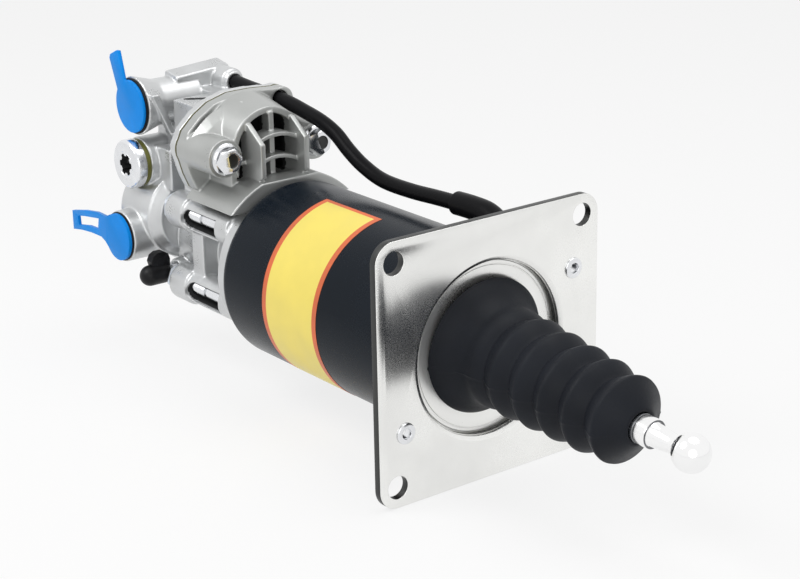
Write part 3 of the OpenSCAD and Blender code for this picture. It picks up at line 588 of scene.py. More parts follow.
# Camera as solved from the photograph: its turn, rise and roll, and its place in mm along its own axes
CAMERA_TURN = radians(52.6935)
CAMERA_RISE = radians(19.1748)
CAMERA_ROLL = radians(-1.14692)
CAMERA_RIGHT = -41.7258
CAMERA_UP = 27.1354
CAMERA_BACK = 913.031
FOCAL_PIXELS = 2002.548
PHOTO_PIXELS = 800
SENSOR_WIDTH = 36


def sharp_rays(tree):
    """One for the rays that show the background: the camera's, and those of metal and glass."""
    paths = node(tree, "LightPath").outputs
    either = maths(tree, "MAXIMUM", paths["Is Camera Ray"], paths["Is Glossy Ray"])
    return maths(tree, "MAXIMUM", either, paths["Is Transmission Ray"])


def lay_floor(height):
    """A pale floor that keeps the shadow and looks nearly white to the camera."""
    deselect()
    bpy.ops.mesh.primitive_grid_add(x_subdivisions=4, y_subdivisions=4, size=FLOOR_SIZE)
    floor = place(bpy.context.object, (0, 0, height / MM))
    floor.name = "floor"
    made, tree, shader, _ = blank("studio floor")
    shader.inputs["Base Color"].default_value = FLOOR_COLOUR
    shader.inputs["Roughness"].default_value = 0.9
    glow = node(tree, "Emission", {"Color": WHITE, "Strength": 1.0}).outputs[0]
    seen = maths(tree, "MULTIPLY", sharp_rays(tree), FLOOR_GLOW)
    mixed = node(tree, "MixShader", {0: seen, 1: shader.outputs[0], 2: glow}).outputs[0]
    tree.links.new(mixed, tree.nodes["Material Output"].inputs["Surface"])
    floor.data.materials.append(made)
    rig.stage(floor)


def light_room(scene):
    """A room that is white to the camera and lights the part softly."""
    world = bpy.data.worlds.new("studio")
    scene.world = world
    world.use_nodes = True
    tree = world.node_tree
    inputs = {"Value": sharp_rays(tree), "To Min": ROOM_LIGHT, "To Max": 1.0}
    level = node(tree, "MapRange", inputs).outputs[0]
    tree.links.new(level, tree.nodes["Background"].inputs["Strength"])
    tree.nodes["Background"].inputs["Color"].default_value = WHITE


def hang_lamps():
    """Round lamps, each with its name, place, target, width and power."""
    for name, at, aim, width, power in LAMPS:
        lamp = bpy.data.lights.new(name, "AREA")
        lamp.shape = "DISK"
        lamp.size = width
        lamp.energy = power
        lit = bpy.data.objects.new(name, lamp)
        bpy.context.collection.objects.link(lit)
        lit.location = at
        lit.rotation_euler = (Vector(aim) - Vector(at)).to_track_quat("-Z", "Y").to_euler()


def set_camera(scene):
    """The camera at the photograph's angle, distance and field of view."""
    level = cos(CAMERA_RISE)
    back = Vector((sin(CAMERA_TURN) * level, -cos(CAMERA_TURN) * level, sin(CAMERA_RISE)))
    side = Vector((0, 0, 1)).cross(back).normalized()
    above = back.cross(side)
    right = cos(CAMERA_ROLL) * side + sin(CAMERA_ROLL) * above
    up = -sin(CAMERA_ROLL) * side + cos(CAMERA_ROLL) * above
    eye = (CAMERA_RIGHT * right + CAMERA_UP * up + CAMERA_BACK * back) * MM
    lens = bpy.data.cameras.new("camera")
    lens.sensor_width = SENSOR_WIDTH
    lens.lens = FOCAL_PIXELS / PHOTO_PIXELS * SENSOR_WIDTH
    lens.clip_start = 0.05
    camera = bpy.data.objects.new("camera", lens)
    bpy.context.collection.objects.link(camera)
    turn = Matrix((right, up, back)).transposed().to_4x4()
    camera.matrix_world = Matrix.Translation(eye) @ turn
    scene.camera = camera


class ServoTool:
    """What every tool of the add-on shares"""
    bl_options = {"REGISTER", "UNDO"}


class SERVO_OT_stage(ServoTool, bpy.types.Operator):
    """Floor, soft studio light and the camera at the photograph's angle"""
    bl_idname = "servo.stage"
    bl_label = "Stage"

    def execute(self, context):
        scene = context.scene
        lay_floor(CAD_BOUNDS[0][2] - scene.servo_sizes.floor_gap)
        light_room(scene)
        hang_lamps()
        set_camera(scene)
        scene.view_settings.view_transform = "Standard"
        return {"FINISHED"}


class SERVO_OT_solids(ServoTool, bpy.types.Operator):
    """Gives every solid the finish of its material slot"""
    bl_idname = "servo.solids"
    bl_label = "Finish the solids"

    def execute(self, context):
        make_finishes()
        looks = {part["node"]: part["material_slot"] for part in frame["record"]["subparts"]}
        looks["valve_cover"] = "cover_aluminium"
        for name, solid in frame["nodes"].items():
            made = FINISHES[looks[name]]
            for slot in solid.material_slots:
                slot.material = made
            if not solid.material_slots:
                solid.data.materials.append(made)
        return {"FINISHED"}


# A face of the plate whose normal leans less than this towards X is on a sheared edge or in a hole, and is given
# painted shade
SHEARED = 0.35


class SERVO_OT_plate(ServoTool, bpy.types.Operator):
    """Flange plate and its locating bushes, with rounded edges"""
    bl_idname = "servo.plate"
    bl_label = "Plate"

    def execute(self, context):
        plate = rounded(from_solid("flange_plate"), context.scene.servo_sizes.edge / MM, steps=3)
        settle(plate, "plate", "housing", "zinc_steel", ["flange_plate"])
        # Painted shade on the sheared edges and in the holes
        second_finish(plate, "edge_painted_shade", lambda face: abs(face.normal.x) < SHEARED)
        bushes = rounded(from_solid("locating_bushes"), 0.22)
        settle(bushes, "bushes", "housing", "zinc_steel", ["locating_bushes"], look="bolt_steel")
        return {"FINISHED"}


# Ring round the boot, in millimetres: its face, its rear, its flange's rear, and its radii
RING_FACE = -5
RING_REAR = -14
RING_FLANGE_REAR = -9
RING_BORE_R = 30
RING_NECK_R = 34
RING_R = 44
RING_GROOVE = 0.2
RING_STEP = 0.3


class SERVO_OT_front_ring(ServoTool, bpy.types.Operator):
    """Turned ring that holds the boot, with a fine groove and a lower rim"""
    bl_idname = "servo.front_ring"
    bl_label = "Front ring"

    def execute(self, context):
        groove = RING_FACE - RING_GROOVE
        rim = RING_FACE - RING_STEP
        ring = turned([(RING_REAR, RING_BORE_R), (groove, RING_BORE_R), (RING_FACE, RING_BORE_R + 0.3),
                       (RING_FACE, 38.6), (groove, 38.8), (groove, 39.1), (RING_FACE, 39.3),
                       (RING_FACE, 40.6), (rim, 40.9), (rim, 41.4), (rim, RING_R - 0.3),
                       (rim - 0.3, RING_R), (RING_FLANGE_REAR, RING_R), (RING_FLANGE_REAR, RING_NECK_R),
                       (RING_REAR + 0.3, RING_NECK_R), (RING_REAR, RING_NECK_R - 0.3),
                       (RING_REAR, RING_BORE_R)], sides=160)
        settle(ring, "ring", "housing", "zinc_steel", ["front_ring"], look="ring_zinc")
        return {"FINISHED"}


# Cylinder shell, in millimetres
SHELL_FRONT = -4
SHELL_BORE_R = 44
SHELL_SHOULDER_R = 6
SHELL_REAR_WALL = 3
SHELL_REAR_BORE_R = 27
SHELL_INNER_CORNER = 1.5


class SERVO_OT_shell(ServoTool, bpy.types.Operator):
    """Drawn shell with its rolled shoulder, and the bare label on it"""
    bl_idname = "servo.shell"
    bl_label = "Shell"

    def execute(self, context):
        shoulder = [(SHELL_BACK + SHELL_SHOULDER_R * (1 - sin(a)), SHELL_R - SHELL_SHOULDER_R * (1 - cos(a)))
                    for a in [radians(7.5 * i) for i in range(13)]]
        inner = SHELL_BACK + SHELL_REAR_WALL
        shell = turned([(SHELL_FRONT, SHELL_BORE_R), (SHELL_FRONT, SHELL_R - 0.3),
                        (SHELL_FRONT - 0.3, SHELL_R), (-52, SHELL_R), (-100, SHELL_R), *shoulder,
                        (SHELL_BACK, SHELL_REAR_BORE_R), (inner, SHELL_REAR_BORE_R),
                        (inner, SHELL_BORE_R - SHELL_INNER_CORNER),
                        (inner + SHELL_INNER_CORNER, SHELL_BORE_R), (SHELL_FRONT, SHELL_BORE_R)],
                       sides=160)
        settle(shell, "shell", "housing", "black_paint", ["cylinder_shell"])

        deselect()
        bpy.ops.mesh.primitive_grid_add(x_subdivisions=6, y_subdivisions=72, size=1)
        label = context.object
        r = SHELL_R + LABEL_LIFT
        for point in label.data.vertices:
            u, v = point.co.x + 0.5, point.co.y + 0.5
            a = radians(LABEL_ANGLE[0] + (LABEL_ANGLE[1] - LABEL_ANGLE[0]) * v)
            x = LABEL_X[0] + (LABEL_X[1] - LABEL_X[0]) * u
            point.co = (x * MM, -r * sin(a) * MM, r * cos(a) * MM)
        cleaned(label, 0.001)
        applied(label, "SOLIDIFY", thickness=LABEL_THICKNESS * MM, offset=1)
        settle(label, "label", "housing", "black_paint", look="label_film")
        return {"FINISHED"}


# Boot, in millimetres from its seat in the ring: its dome, its folds and its nose
BOOT_START = -4.7
BOOT_TILT = radians(4.0)
BOOT_R = 33.2
BOOT_WALL = 1.3
DOME_FALLS = ((0, 0.1), (3.5, 2.6), (7, 5.7), (10, 7.6), (12.7, 8.8), (15.2, 9.2), (17.2, 9.2), (19.2, 9.4),
              (21.2, 10), (23, 11))
BOOT_FIRST = 24.4
BOOT_PITCH = 15
BOOT_FOLDS = 5
LAST_FOLD = BOOT_FOLDS - 1
LAST_STRETCH = 1.14
CREST_R = 24
CREST_FALL = 0.8
LAST_CREST_FALL = 3.8
FIRST_NOTCH_RISE = 1.5
NOTCH_DEPTH = 4.6
NOTCH_FALL = 0.35
FOLD_STEPS = 9
LAST_STEPS = 2
FOLD_CURVE = 1.3
NOTCH_SOFTNESS = 0.94
NOSE_LENGTH = 2.4
NOSE_DEPTH = 3
MOUTH_R = 7.1
LIP = ((-0.9, 2.6), (-0.3, 1.9), (0.1, 1.2), (0.3, 0.5), (0.1, 0))

# Moulding seam of the boot: its angle from the top and half its width in degrees, its start, and its scale
SEAM_ANGLE = 96
SEAM_HALF = 1.3
SEAM_FROM_R = 9
SEAM_SCALE = 1.02

# The boot is two pieces, because a blend crosses one joint only. From this fold on it follows the rod
BOOT_SPLIT = 2

# Its two blends, in millimetres: the start from the seat, half the gap between them, and the X of the end
BLEND_START = 3
BLEND_GAP = 1
BLEND_END = 80


def fold_r(i):
    """Radius of a fold of the boot."""
    return CREST_R - (CREST_FALL * i if i < LAST_FOLD else LAST_CREST_FALL)


def notch_r(i):
    """Radius of the notch in front of a fold."""
    return fold_r(i) - NOTCH_DEPTH - NOTCH_FALL * i


def boot_outline(first, last, off):
    """Outline of the folds from first to last, off mm inside. The last fold ends just past its crest."""
    out = []
    for i in range(first, last):
        start = BOOT_FIRST + i * BOOT_PITCH
        rear = notch_r(0) + FIRST_NOTCH_RISE if i == 0 else notch_r(i - 1)
        stretch = LAST_STRETCH if i == LAST_FOLD else 1
        for step in range(-FOLD_STEPS, FOLD_STEPS if i < LAST_FOLD else LAST_STEPS):
            u = step / FOLD_STEPS
            low = rear if u < 0 else notch_r(i)
            drop = (fold_r(i) - low) * (abs(u) ** FOLD_CURVE if abs(u) < 1 else NOTCH_SOFTNESS)
            out.append((start + stretch * BOOT_PITCH * (0.5 + 0.5 * u), fold_r(i) - drop - off))
    if last < BOOT_FOLDS:
        out.append((BOOT_FIRST + last * BOOT_PITCH, notch_r(last - 1) - off))
    return out


def boot_piece(name, outer, inner, nodes):
    """A stretch of the boot from its two outlines, with a seam on both sides and the boot's tilt."""
    piece = turned(outer + inner[::-1] + [outer[0]], sides=144)
    for point in piece.data.vertices:
        y, z = point.co.y / MM, point.co.z / MM
        around = degrees(atan2(-y, z))
        if abs(abs(around) - SEAM_ANGLE) < SEAM_HALF and hypot(y, z) > SEAM_FROM_R:
            point.co.y *= SEAM_SCALE
            point.co.z *= SEAM_SCALE
    place(piece, (BOOT_START, 0, 0), (0, BOOT_TILT, 0))
    return settle(piece, name, None, "boot_rubber", nodes, angle=45)


class SERVO_OT_boot(ServoTool, bpy.types.Operator):
    """Bellows boot in two stretches, so that it follows the stroke and the rod"""
    bl_idname = "servo.boot"
    bl_label = "Boot"

    def execute(self, context):
        dome = [(p.x, p.y) for p in curve_points([(x, BOOT_R - fall, 0) for x, fall in DOME_FALLS], 2)]
        dome_inside = [(x, r - BOOT_WALL) for x, r in dome]
        base = boot_piece("boot_base", dome + boot_outline(0, BOOT_SPLIT, 0),
                          dome_inside + boot_outline(0, BOOT_SPLIT, BOOT_WALL), ["dust_boot"])
        split_x = BOOT_FIRST + BOOT_SPLIT * BOOT_PITCH + BOOT_START
        start_x = BOOT_START + BLEND_START
        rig.blend(base, "housing", "piston", (start_x * MM, 0, 0), ((split_x - BLEND_GAP) * MM, 0, 0))

        nose_x = BOOT_FIRST + BOOT_FOLDS * BOOT_PITCH + NOSE_LENGTH
        lip = [(nose_x + x, MOUTH_R + r) for x, r in LIP]
        lip_inside = [(nose_x - NOSE_DEPTH, MOUTH_R)]
        nose = boot_piece("boot_nose", boot_outline(BOOT_SPLIT, BOOT_FOLDS, 0) + lip,
                          boot_outline(BOOT_SPLIT, BOOT_FOLDS, BOOT_WALL) + lip_inside, [])
        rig.blend(nose, "piston", "rod", ((split_x + BLEND_GAP) * MM, 0, 0), (BLEND_END * MM, 0, 0))
        return {"FINISHED"}


# End of the push rod, in millimetres along it from its pivot: collar with a groove and a step, neck, ball
ROD_FROM = 120
COLLAR_R = 6.8
COLLAR_GROOVE = (134.4, 135.8)
COLLAR_END = 141.3
# Stretch of the step that is given painted shade
COLLAR_STEP = (141.65, 142.1)
GROOVE_R = 6.5
GROOVE_SIDE = 0.4
NECK = ((141.9, 5.7), (142.7, 5.3), (147.5, 4.9), (151.5, 4.4), (154, 4.25))
BALL_X = 163
BALL_R = 8.6
BALL_FROM = 32


class SERVO_OT_rod(ServoTool, bpy.types.Operator):
    """Polished end of the push rod with collar, neck and ball"""
    bl_idname = "servo.rod"
    bl_label = "Rod end"

    def execute(self, context):
        groove_start, groove_end = COLLAR_GROOVE
        collar = [(ROD_FROM, 0), (ROD_FROM, COLLAR_R - 1), (ROD_FROM + 1, COLLAR_R),
                  (groove_start, COLLAR_R), (groove_start + GROOVE_SIDE, GROOVE_R),
                  (groove_end - GROOVE_SIDE, GROOVE_R), (groove_end, COLLAR_R),
                  (COLLAR_END, COLLAR_R), (COLLAR_END + GROOVE_SIDE, GROOVE_R)]
        ball = [(BALL_X - BALL_R * cos(radians(a)), BALL_R * sin(radians(a)))
                for a in range(BALL_FROM, 181, 4)]
        piece = turned([*collar, *NECK, *ball], at=(PIVOT_X, 0, 0), turn=(0, ROD_TILT, 0))
        settle(piece, "rod_end", "rod", "chrome_steel", ["ball_end"])
        pivot = Vector((PIVOT_X, 0, 0))
        along = Vector((cos(ROD_TILT), 0, -sin(ROD_TILT)))

        def in_shade(face):
            reach = (face.center / MM - pivot).dot(along)
            return any(low < reach < high for low, high in (COLLAR_GROOVE, COLLAR_STEP))

        # Painted shade in the collar's groove and on its step
        second_finish(piece, "bolt_painted_shade", in_shade)
        return {"FINISHED"}


class SERVO_OT_springs(ServoTool, bpy.types.Operator):
    """Springs that shorten with the piece that they push"""
    bl_idname = "servo.springs"
    bl_label = "Springs"

    def execute(self, context):
        for node_name, name, body, fixed, pushed in (
                ("preload_spring", "return_coil", "piston", min, max),
                ("control_spring", "control_coil", "control", max, min)):
            piece = from_solid(node_name)
            settle(piece, name, None, "spring_steel", [node_name])
            places = [point.co.x for point in piece.data.vertices]
            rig.blend(piece, "housing", body, (fixed(places), 0, 0), (pushed(places), 0, 0))
        return {"FINISHED"}


# Castings: how much finer the cover's cells are, and the share of the faces that each keeps
COVER_CELL = 0.75
CASTING_KEPT = 0.32
COVER_KEPT = 0.42

# Painted shade on the castings, in millimetres: the hollow behind the grille, from the valve's axis
HOLLOW_R = 18.9
HOLLOW_FLOOR = -14.4
HOLLOW_X = (-195, -177)

# The windows over the tie bolts, and the slot on top of the valve body, where shade is painted
WINDOW_X = (-209, -168)
WINDOW_R = 7.35
SLOT_AT = (-229, -9)
SLOT_R = 8
SLOT_Z = (75, 76.75)

# Web between the near bolt's boss and the cover's dome: at each X, (y, z) corners from the valve's axis
WEB_CORNERS = (
    (-192, ((-33.8, 8.4), (-31.4, 11.2), (-28, 14.2), (-24.2, 17), (-20, 19.3), (-12.4, 22), (-19.4, 1))),
    (-186, ((-27.5, 10.4), (-24, 13.2), (-19, 16.4))),
    (-180, ((-20.6, 8.6), (-20.6, 2))),
)


def cover_web():
    """Web that fills the corner between the near bolt's boss and the dome of the cover."""
    corners = [(x * MM, (VALVE[0] + y) * MM, (VALVE[1] + z) * MM)
               for x, pairs in WEB_CORNERS for y, z in pairs]
    mesh = bpy.data.meshes.new("web")
    mesh.from_pydata(corners, [], [])
    web = bpy.data.objects.new("web", mesh)
    bpy.context.collection.objects.link(web)
    hold(web)
    bpy.ops.object.mode_set(mode="EDIT")
    bpy.ops.mesh.select_all(action="SELECT")
    bpy.ops.mesh.convex_hull()
    bpy.ops.object.mode_set(mode="OBJECT")
    return cleaned(web)


def in_hollow_painted_shade(face):
    """True inside the hollow behind the cover's grille, where shade is painted."""
    at = face.center / MM
    y, z = at.y - VALVE[0], at.z - VALVE[1]
    inside = hypot(y, z) < HOLLOW_R if z > 0 else abs(y) < HOLLOW_R and z > HOLLOW_FLOOR
    return inside and HOLLOW_X[0] < at.x < HOLLOW_X[1]


def in_window_painted_shade(face):
    """True inside a tie bolt's window and in the slot on top of the valve body, where shade is painted."""
    at = face.center / MM
    if SLOT_Z[0] < at.z < SLOT_Z[1] and hypot(at.x - SLOT_AT[0], at.y - SLOT_AT[1]) < SLOT_R:
        return True
    return WINDOW_X[0] < at.x < WINDOW_X[1] and any(hypot(at.y - y, at.z - z) < WINDOW_R for y, z in TIES)


def melted(piece, cell, melt, kept):
    """Melts a casting's edges round, with cells in metres, and keeps a share of its faces."""
    applied(piece, "REMESH", mode="VOXEL", voxel_size=cell, adaptivity=0)
    applied(piece, "SMOOTH", factor=0.5, iterations=melt)
    return applied(piece, "DECIMATE", ratio=kept)


class SERVO_OT_castings(ServoTool, bpy.types.Operator):
    """Main casting and valve cover with cast rounds in every corner, and the gasket between them"""
    bl_idname = "servo.castings"
    bl_label = "Castings"

    def execute(self, context):
        sizes = context.scene.servo_sizes
        cell = sizes.cast_voxel * (2 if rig.quick() else 1)
        casting = melted(from_solid("main_casting"), cell, sizes.cast_melt, CASTING_KEPT)
        settle(casting, "casting", "housing", "cast_aluminium", ["main_casting"], angle=60)
        # Painted shade inside the tie bolts' windows and in the slot on the valve body
        second_finish(casting, "painted_shade_cast", in_window_painted_shade)

        cover = cut(from_solid("valve_cover"), cover_web(), "UNION")
        melted(cover, COVER_CELL * cell, sizes.cast_melt, COVER_KEPT)
        settle(cover, "cover", "housing", "cast_aluminium", ["valve_cover"], "cover_aluminium", angle=60)
        # Painted shade inside the hollow behind the grille
        second_finish(cover, "painted_shade_cast", in_hollow_painted_shade)

        gasket = rounded(from_solid("cover_gasket"), 0.15, steps=1)
        settle(gasket, "gasket", "housing", "gasket_fibre", ["cover_gasket"])
        return {"FINISHED"}


# Bolts, in millimetres: width over flats, height and washer radius of a head, or start, end and radius
COVER_HEAD = (12, 6.5, 8.2)
COVER_SHANK = (-40, 0.5, 4)
TIE_HEAD = (13, 7, 8)
TIE_SHANK = (0, 69, 4)
TIE_NUT = (68.1, 74.1, 6.9)
TIE_THREADS = 20
THREAD_DEPTH = 0.62
NECK_DEPTH = 0.9

# Turns of the heads about their bolts in degrees
COVER_TURNS = (8, 22)
TIE_TURNS = (12, 29, 46, 63)

# Faces of the cover bolts with painted shade, from the seat: the flats, and the dish with its radius
FLATS = (1.9, 5.4)
DISH = (5.85, 6.42)
DISH_R = 3.66


def hex_head(width, height, washer_r):
    """Hexagon head along +X from its seat, with a washer face, corner chamfers and a dished top."""
    deselect()
    foot = 1
    bpy.ops.mesh.primitive_cylinder_add(vertices=6, radius=width / 3 ** 0.5 * MM, depth=(height - foot) * MM,
                                        location=((foot + (height - foot) / 2) * MM, 0, 0),
                                        rotation=(pi / 6, pi / 2, 0))
    head = bpy.context.object
    bpy.ops.object.transform_apply(location=True, rotation=True, scale=True)
    r = width / 2
    dish = height - 0.5
    chamfers = turned([(0, 0), (0, r * 1.3), (height - 1.1, r * 1.18), (height, r * 0.94),
                       (height, r * 0.62), (dish, r * 0.55), (dish, 0)])
    cut(head, chamfers, "INTERSECT")
    rounded(head, 0.15)
    washer = turned([(0, 0), (0, washer_r - 0.2), (0.2, washer_r), (0.9, washer_r), (1.6, washer_r - 0.6),
                     (2.1, r + 0.6), (2.2, 0)])
    return joined([washer, head])


def threaded(x0, x1, r, turns, pitch):
    """A stud's shank from x0 to x1, with some turns of thread, a groove and a plain stretch."""
    outline = [(x0, 0), (x0, r)]
    for turn in range(turns):
        x = x0 + turn * pitch
        outline += [(x + pitch * 0.5, r - THREAD_DEPTH * pitch), (x + pitch, r)]
    x = x0 + turns * pitch
    neck_r = r - NECK_DEPTH
    outline += [(x + 0.3, neck_r), (x + 1.8, neck_r), (x + 2.3, r), (x1 - 0.5, r), (x1, r - 0.5), (x1, 0)]
    return turned(outline, sides=48)


def bolt_set(head, others, places, turns):
    """Copies of a head and its other parts at each place in mm, joined. The heads are turned, in degrees."""
    copies = []
    for at, turn in zip(places, turns):
        copies.append(place(copied(head), at, (radians(turn), 0, 0)))
        copies += [place(copied(part), at) for part in others]
    for spare in (head, *others):
        bpy.data.objects.remove(spare)
    return joined(copies)


def on_flats_painted_shade(face):
    """True on the flats of a cover bolt's head, where shade is painted."""
    return COVER_SEAT_X + FLATS[0] < face.center.x / MM < COVER_SEAT_X + FLATS[1]


def in_dish_painted_shade(face):
    """True in the dish on top of a cover bolt's head, where shade is painted."""
    at = face.center / MM
    return (COVER_SEAT_X + DISH[0] < at.x < COVER_SEAT_X + DISH[1]
            and hypot(abs(at.y - VALVE[0]) - COVER_BOLT_Y, at.z - VALVE[1]) < DISH_R)


class SERVO_OT_bolts(ServoTool, bpy.types.Operator):
    """Cover bolts and tie bolts with chamfered heads and threads"""
    bl_idname = "servo.bolts"
    bl_label = "Bolts"

    def execute(self, context):
        pitch = context.scene.servo_sizes.thread_pitch / MM
        seats = [(COVER_SEAT_X, VALVE[0] + side * COVER_BOLT_Y, VALVE[1]) for side in (-1, 1)]
        pair = bolt_set(hex_head(*COVER_HEAD), [cylinder(*COVER_SHANK, sides=32)], seats, COVER_TURNS)
        settle(pair, "cover_screws", "housing", "bolt_steel", ["cover_bolts"])
        # Painted shade on the flats of the heads, and darker painted shade in their dish
        second_finish(pair, "bolt_painted_shade", on_flats_painted_shade)
        second_finish(pair, "edge_painted_shade", in_dish_painted_shade)

        head = place(hex_head(*TIE_HEAD), turn=(0, 0, pi))
        others = [threaded(*TIE_SHANK, TIE_THREADS, pitch), cylinder(*TIE_NUT, sides=6)]
        sets = bolt_set(head, others, [(TIE_REAR, y, z) for y, z in TIES], TIE_TURNS)
        settle(sets, "tie_screws", "housing", "bolt_steel", ["tie_bolts"])
        # The tie bolts' heads and washer faces take pale zinc with a painted highlight
        second_finish(sets, "zinc_painted_highlight", lambda face: face.center.x / MM < TIE_REAR + 0.5)
        return {"FINISHED"}


# Screw plug, in millimetres along its axis and across it
PLUG_REAR = 18
PLUG_SEAT = 32.6
PLUG_FACE = 38.6
PLUG_SHANK_R = 9
PLUG_R = 13.3
WASHER_REAR = 30
WASHER_R = 12.8
WASHER_BORE_R = 9.2

# Its star socket: floor, radius, length and width of each of the three arms, and where shade is painted in it
SOCKET_FLOOR = 33.6
SOCKET_TOP = 40
SOCKET_R = 4.7
ARM_LENGTH = 12
ARM_WIDTH = 3.2
SOCKET_SHADE_FROM = 0.25
SOCKET_SHADE_R = 6.245


class SERVO_OT_screw_plug(ServoTool, bpy.types.Operator):
    """Screw plug with its star socket, and the washer under it"""
    bl_idname = "servo.screw_plug"
    bl_label = "Screw plug"

    def execute(self, context):
        at, aim = (PORT_X, 0, PLUG_Z), (0, 0, -pi / 2)
        groove = PLUG_FACE - 0.3
        plug = turned([(PLUG_REAR, 0), (PLUG_REAR, PLUG_SHANK_R), (PLUG_SEAT - 0.4, PLUG_SHANK_R),
                       (PLUG_SEAT, WASHER_BORE_R), (PLUG_SEAT, PLUG_R - 0.3), (PLUG_SEAT + 0.3, PLUG_R),
                       (PLUG_FACE - 1.3, PLUG_R), (PLUG_FACE - 0.6, 12.9), (PLUG_FACE, 12.2),
                       (PLUG_FACE, 7.2), (groove, 6.9), (groove, 6.4), (PLUG_FACE, 6.1), (PLUG_FACE, 0)])
        cut(plug, cylinder(SOCKET_FLOOR, SOCKET_TOP, SOCKET_R, sides=48))
        for i in range(3):
            arm = block((SOCKET_TOP - SOCKET_FLOOR, ARM_LENGTH, ARM_WIDTH),
                        ((SOCKET_FLOOR + SOCKET_TOP) / 2, 0, 0), i * pi / 3)
            cut(plug, rounded(arm, 0.9, steps=3))
        rounded(plug, 0.12, steps=1, angle=40)
        place(plug, at, aim)
        settle(plug, "plug", "housing", "bolt_steel", ["screw_plug"])

        def in_socket_painted_shade(face):
            x, y, z = face.center / MM
            return y > SOCKET_SHADE_FROM - PLUG_FACE and hypot(x - PORT_X, z - PLUG_Z) < SOCKET_SHADE_R

        # Painted shade inside the star socket
        second_finish(plug, "painted_shade_cast", in_socket_painted_shade)
        washer = turned([(WASHER_REAR, WASHER_BORE_R), (WASHER_REAR, WASHER_R - 0.2),
                         (WASHER_REAR + 0.3, WASHER_R), (PLUG_SEAT - 0.3, WASHER_R),
                         (PLUG_SEAT, WASHER_R - 0.2), (PLUG_SEAT, WASHER_BORE_R),
                         (WASHER_REAR, WASHER_BORE_R)], at=at, turn=aim)
        settle(washer, "washer", "housing", "washer_olive", ["plug_washer"])
        return {"FINISHED"}


class SERVO_OT_port_plugs(ServoTool, bpy.types.Operator):
    """Blue transport plugs with strap and looped tab, and the rings under them"""
    bl_idname = "servo.port_plugs"
    bl_label = "Port plugs"

    def execute(self, context):
        for port in ("air", "fluid"):
            piece = rounded(from_solid(port + "_port_plug"), 0.45, steps=3)
            settle(piece, port + "_cap", port + "_plug", "plug_blue", [port + "_port_plug"])
        for port in ("air", "fluid"):
            piece = rounded(from_solid(port + "_port_ring"), 0.3)
            settle(piece, port + "_seal", "housing", "seal_rubber", [port + "_port_ring"])
        return {"FINISHED"}


# Middle and size in millimetres of the bend that closes the strap of the bleed cap
STRAP_BEND = (-236, -33.9, -9.6)
STRAP_SIZE = (5, 5.2, 5.4)


class SERVO_OT_bleeder(ServoTool, bpy.types.Operator):
    """Bleed screw and its rubber cap"""
    bl_idname = "servo.bleeder"
    bl_label = "Bleeder"

    def execute(self, context):
        cap = rounded(cut(from_solid("bleed_cap"), block(STRAP_SIZE, STRAP_BEND), "UNION"), 0.4, steps=3)
        settle(cap, "bleeder_boot", "bleeder_cap", "cap_rubber", ["bleed_cap"])
        screw = rounded(from_solid("bleed_screw"), 0.2)
        settle(screw, "bleeder_screw", "bleeder", "bolt_steel", ["bleed_screw"])
        return {"FINISHED"}


# Vent pipe and its sleeve, in millimetres: radii, and the points of their routes
PIPE_R = 3.78
SLEEVE_R = 5.75
PIPE_ROUTE = ((-247, 80), (-236, 80), (-222, 79.3), (-204, 78.8), (-186, 77.7), (-172, 75.8), (-157, 73.2),
              (-145, 69.2), (-134, 62.6), (-122, 57.1), (-106, 53.1), (-84, 52.7), (-62, 53.9), (-38, 54.9))
SLEEVE_ROUTE = ((-48, PIPE_Y, 54.6), (-38, PIPE_Y, 54.9), (-27, PIPE_Y, 54.5), (-20, 19.4, 52.6),
                (-17, 18.4, 50.4), (-16, 17.4, 47.9))


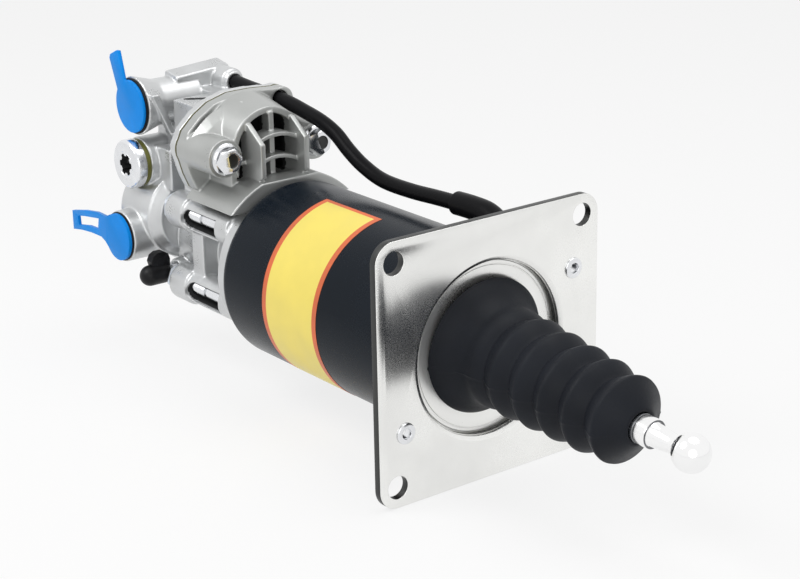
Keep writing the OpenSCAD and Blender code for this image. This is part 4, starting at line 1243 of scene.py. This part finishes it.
class SERVO_OT_pipe(ServoTool, bpy.types.Operator):
    """Vent pipe with its sleeve"""
    bl_idname = "servo.pipe"
    bl_label = "Vent pipe"

    def execute(self, context):
        pipe = tube([(x, PIPE_Y, z) for x, z in PIPE_ROUTE], PIPE_R)
        settle(pipe, "pipe", "housing", "pipe_rubber", ["vent_pipe"])
        sleeve = rounded(tube(SLEEVE_ROUTE, SLEEVE_R), 0.4, angle=50)
        settle(sleeve, "sleeve", "housing", "pipe_rubber", ["pipe_sleeve"])
        return {"FINISHED"}


TOOLS = (SERVO_OT_stage, SERVO_OT_solids, SERVO_OT_plate, SERVO_OT_front_ring, SERVO_OT_shell, SERVO_OT_boot,
         SERVO_OT_rod, SERVO_OT_springs, SERVO_OT_castings, SERVO_OT_bolts, SERVO_OT_screw_plug,
         SERVO_OT_port_plugs, SERVO_OT_bleeder, SERVO_OT_pipe)


class SERVO_PT_panel(bpy.types.Panel):
    """The servo's sizes, colours and tools"""
    bl_idname = "SERVO_PT_panel"
    bl_label = "Clutch servo"
    bl_space_type = "VIEW_3D"
    bl_region_type = "UI"
    bl_category = "Servo"

    def draw(self, context):
        for group in (context.scene.servo_sizes, context.scene.servo_colours):
            box = self.layout.box()
            for key in group.bl_rna.properties.keys():
                if key not in ("rna_type", "name"):
                    box.prop(group, key)
        for tool in TOOLS:
            self.layout.operator(tool.bl_idname)


CLASSES = (ServoSizes, ServoColours, *TOOLS, SERVO_PT_panel)


def register():
    """Adds the classes and the scene's settings."""
    for item in CLASSES:
        bpy.utils.register_class(item)
    bpy.types.Scene.servo_sizes = PointerProperty(type=ServoSizes)
    bpy.types.Scene.servo_colours = PointerProperty(type=ServoColours)


def unregister():
    """Takes the settings and the classes away again."""
    del bpy.types.Scene.servo_colours
    del bpy.types.Scene.servo_sizes
    for item in reversed(CLASSES):
        bpy.utils.unregister_class(item)


def main():
    """Runs every tool in order and writes the two boxes."""
    register()
    for tool in TOOLS:
        group, name = tool.bl_idname.split(".")
        getattr(getattr(bpy.ops, group), name)()
    deselect()
    bpy.context.view_layer.update()
    sizes = {"cad": [list(v) for v in CAD_BOUNDS], "visual": [list(v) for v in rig.bounds()]}
    with open("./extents.json", "w") as out:
        json.dump(sizes, out)


if __name__ == "__main__":
    main()
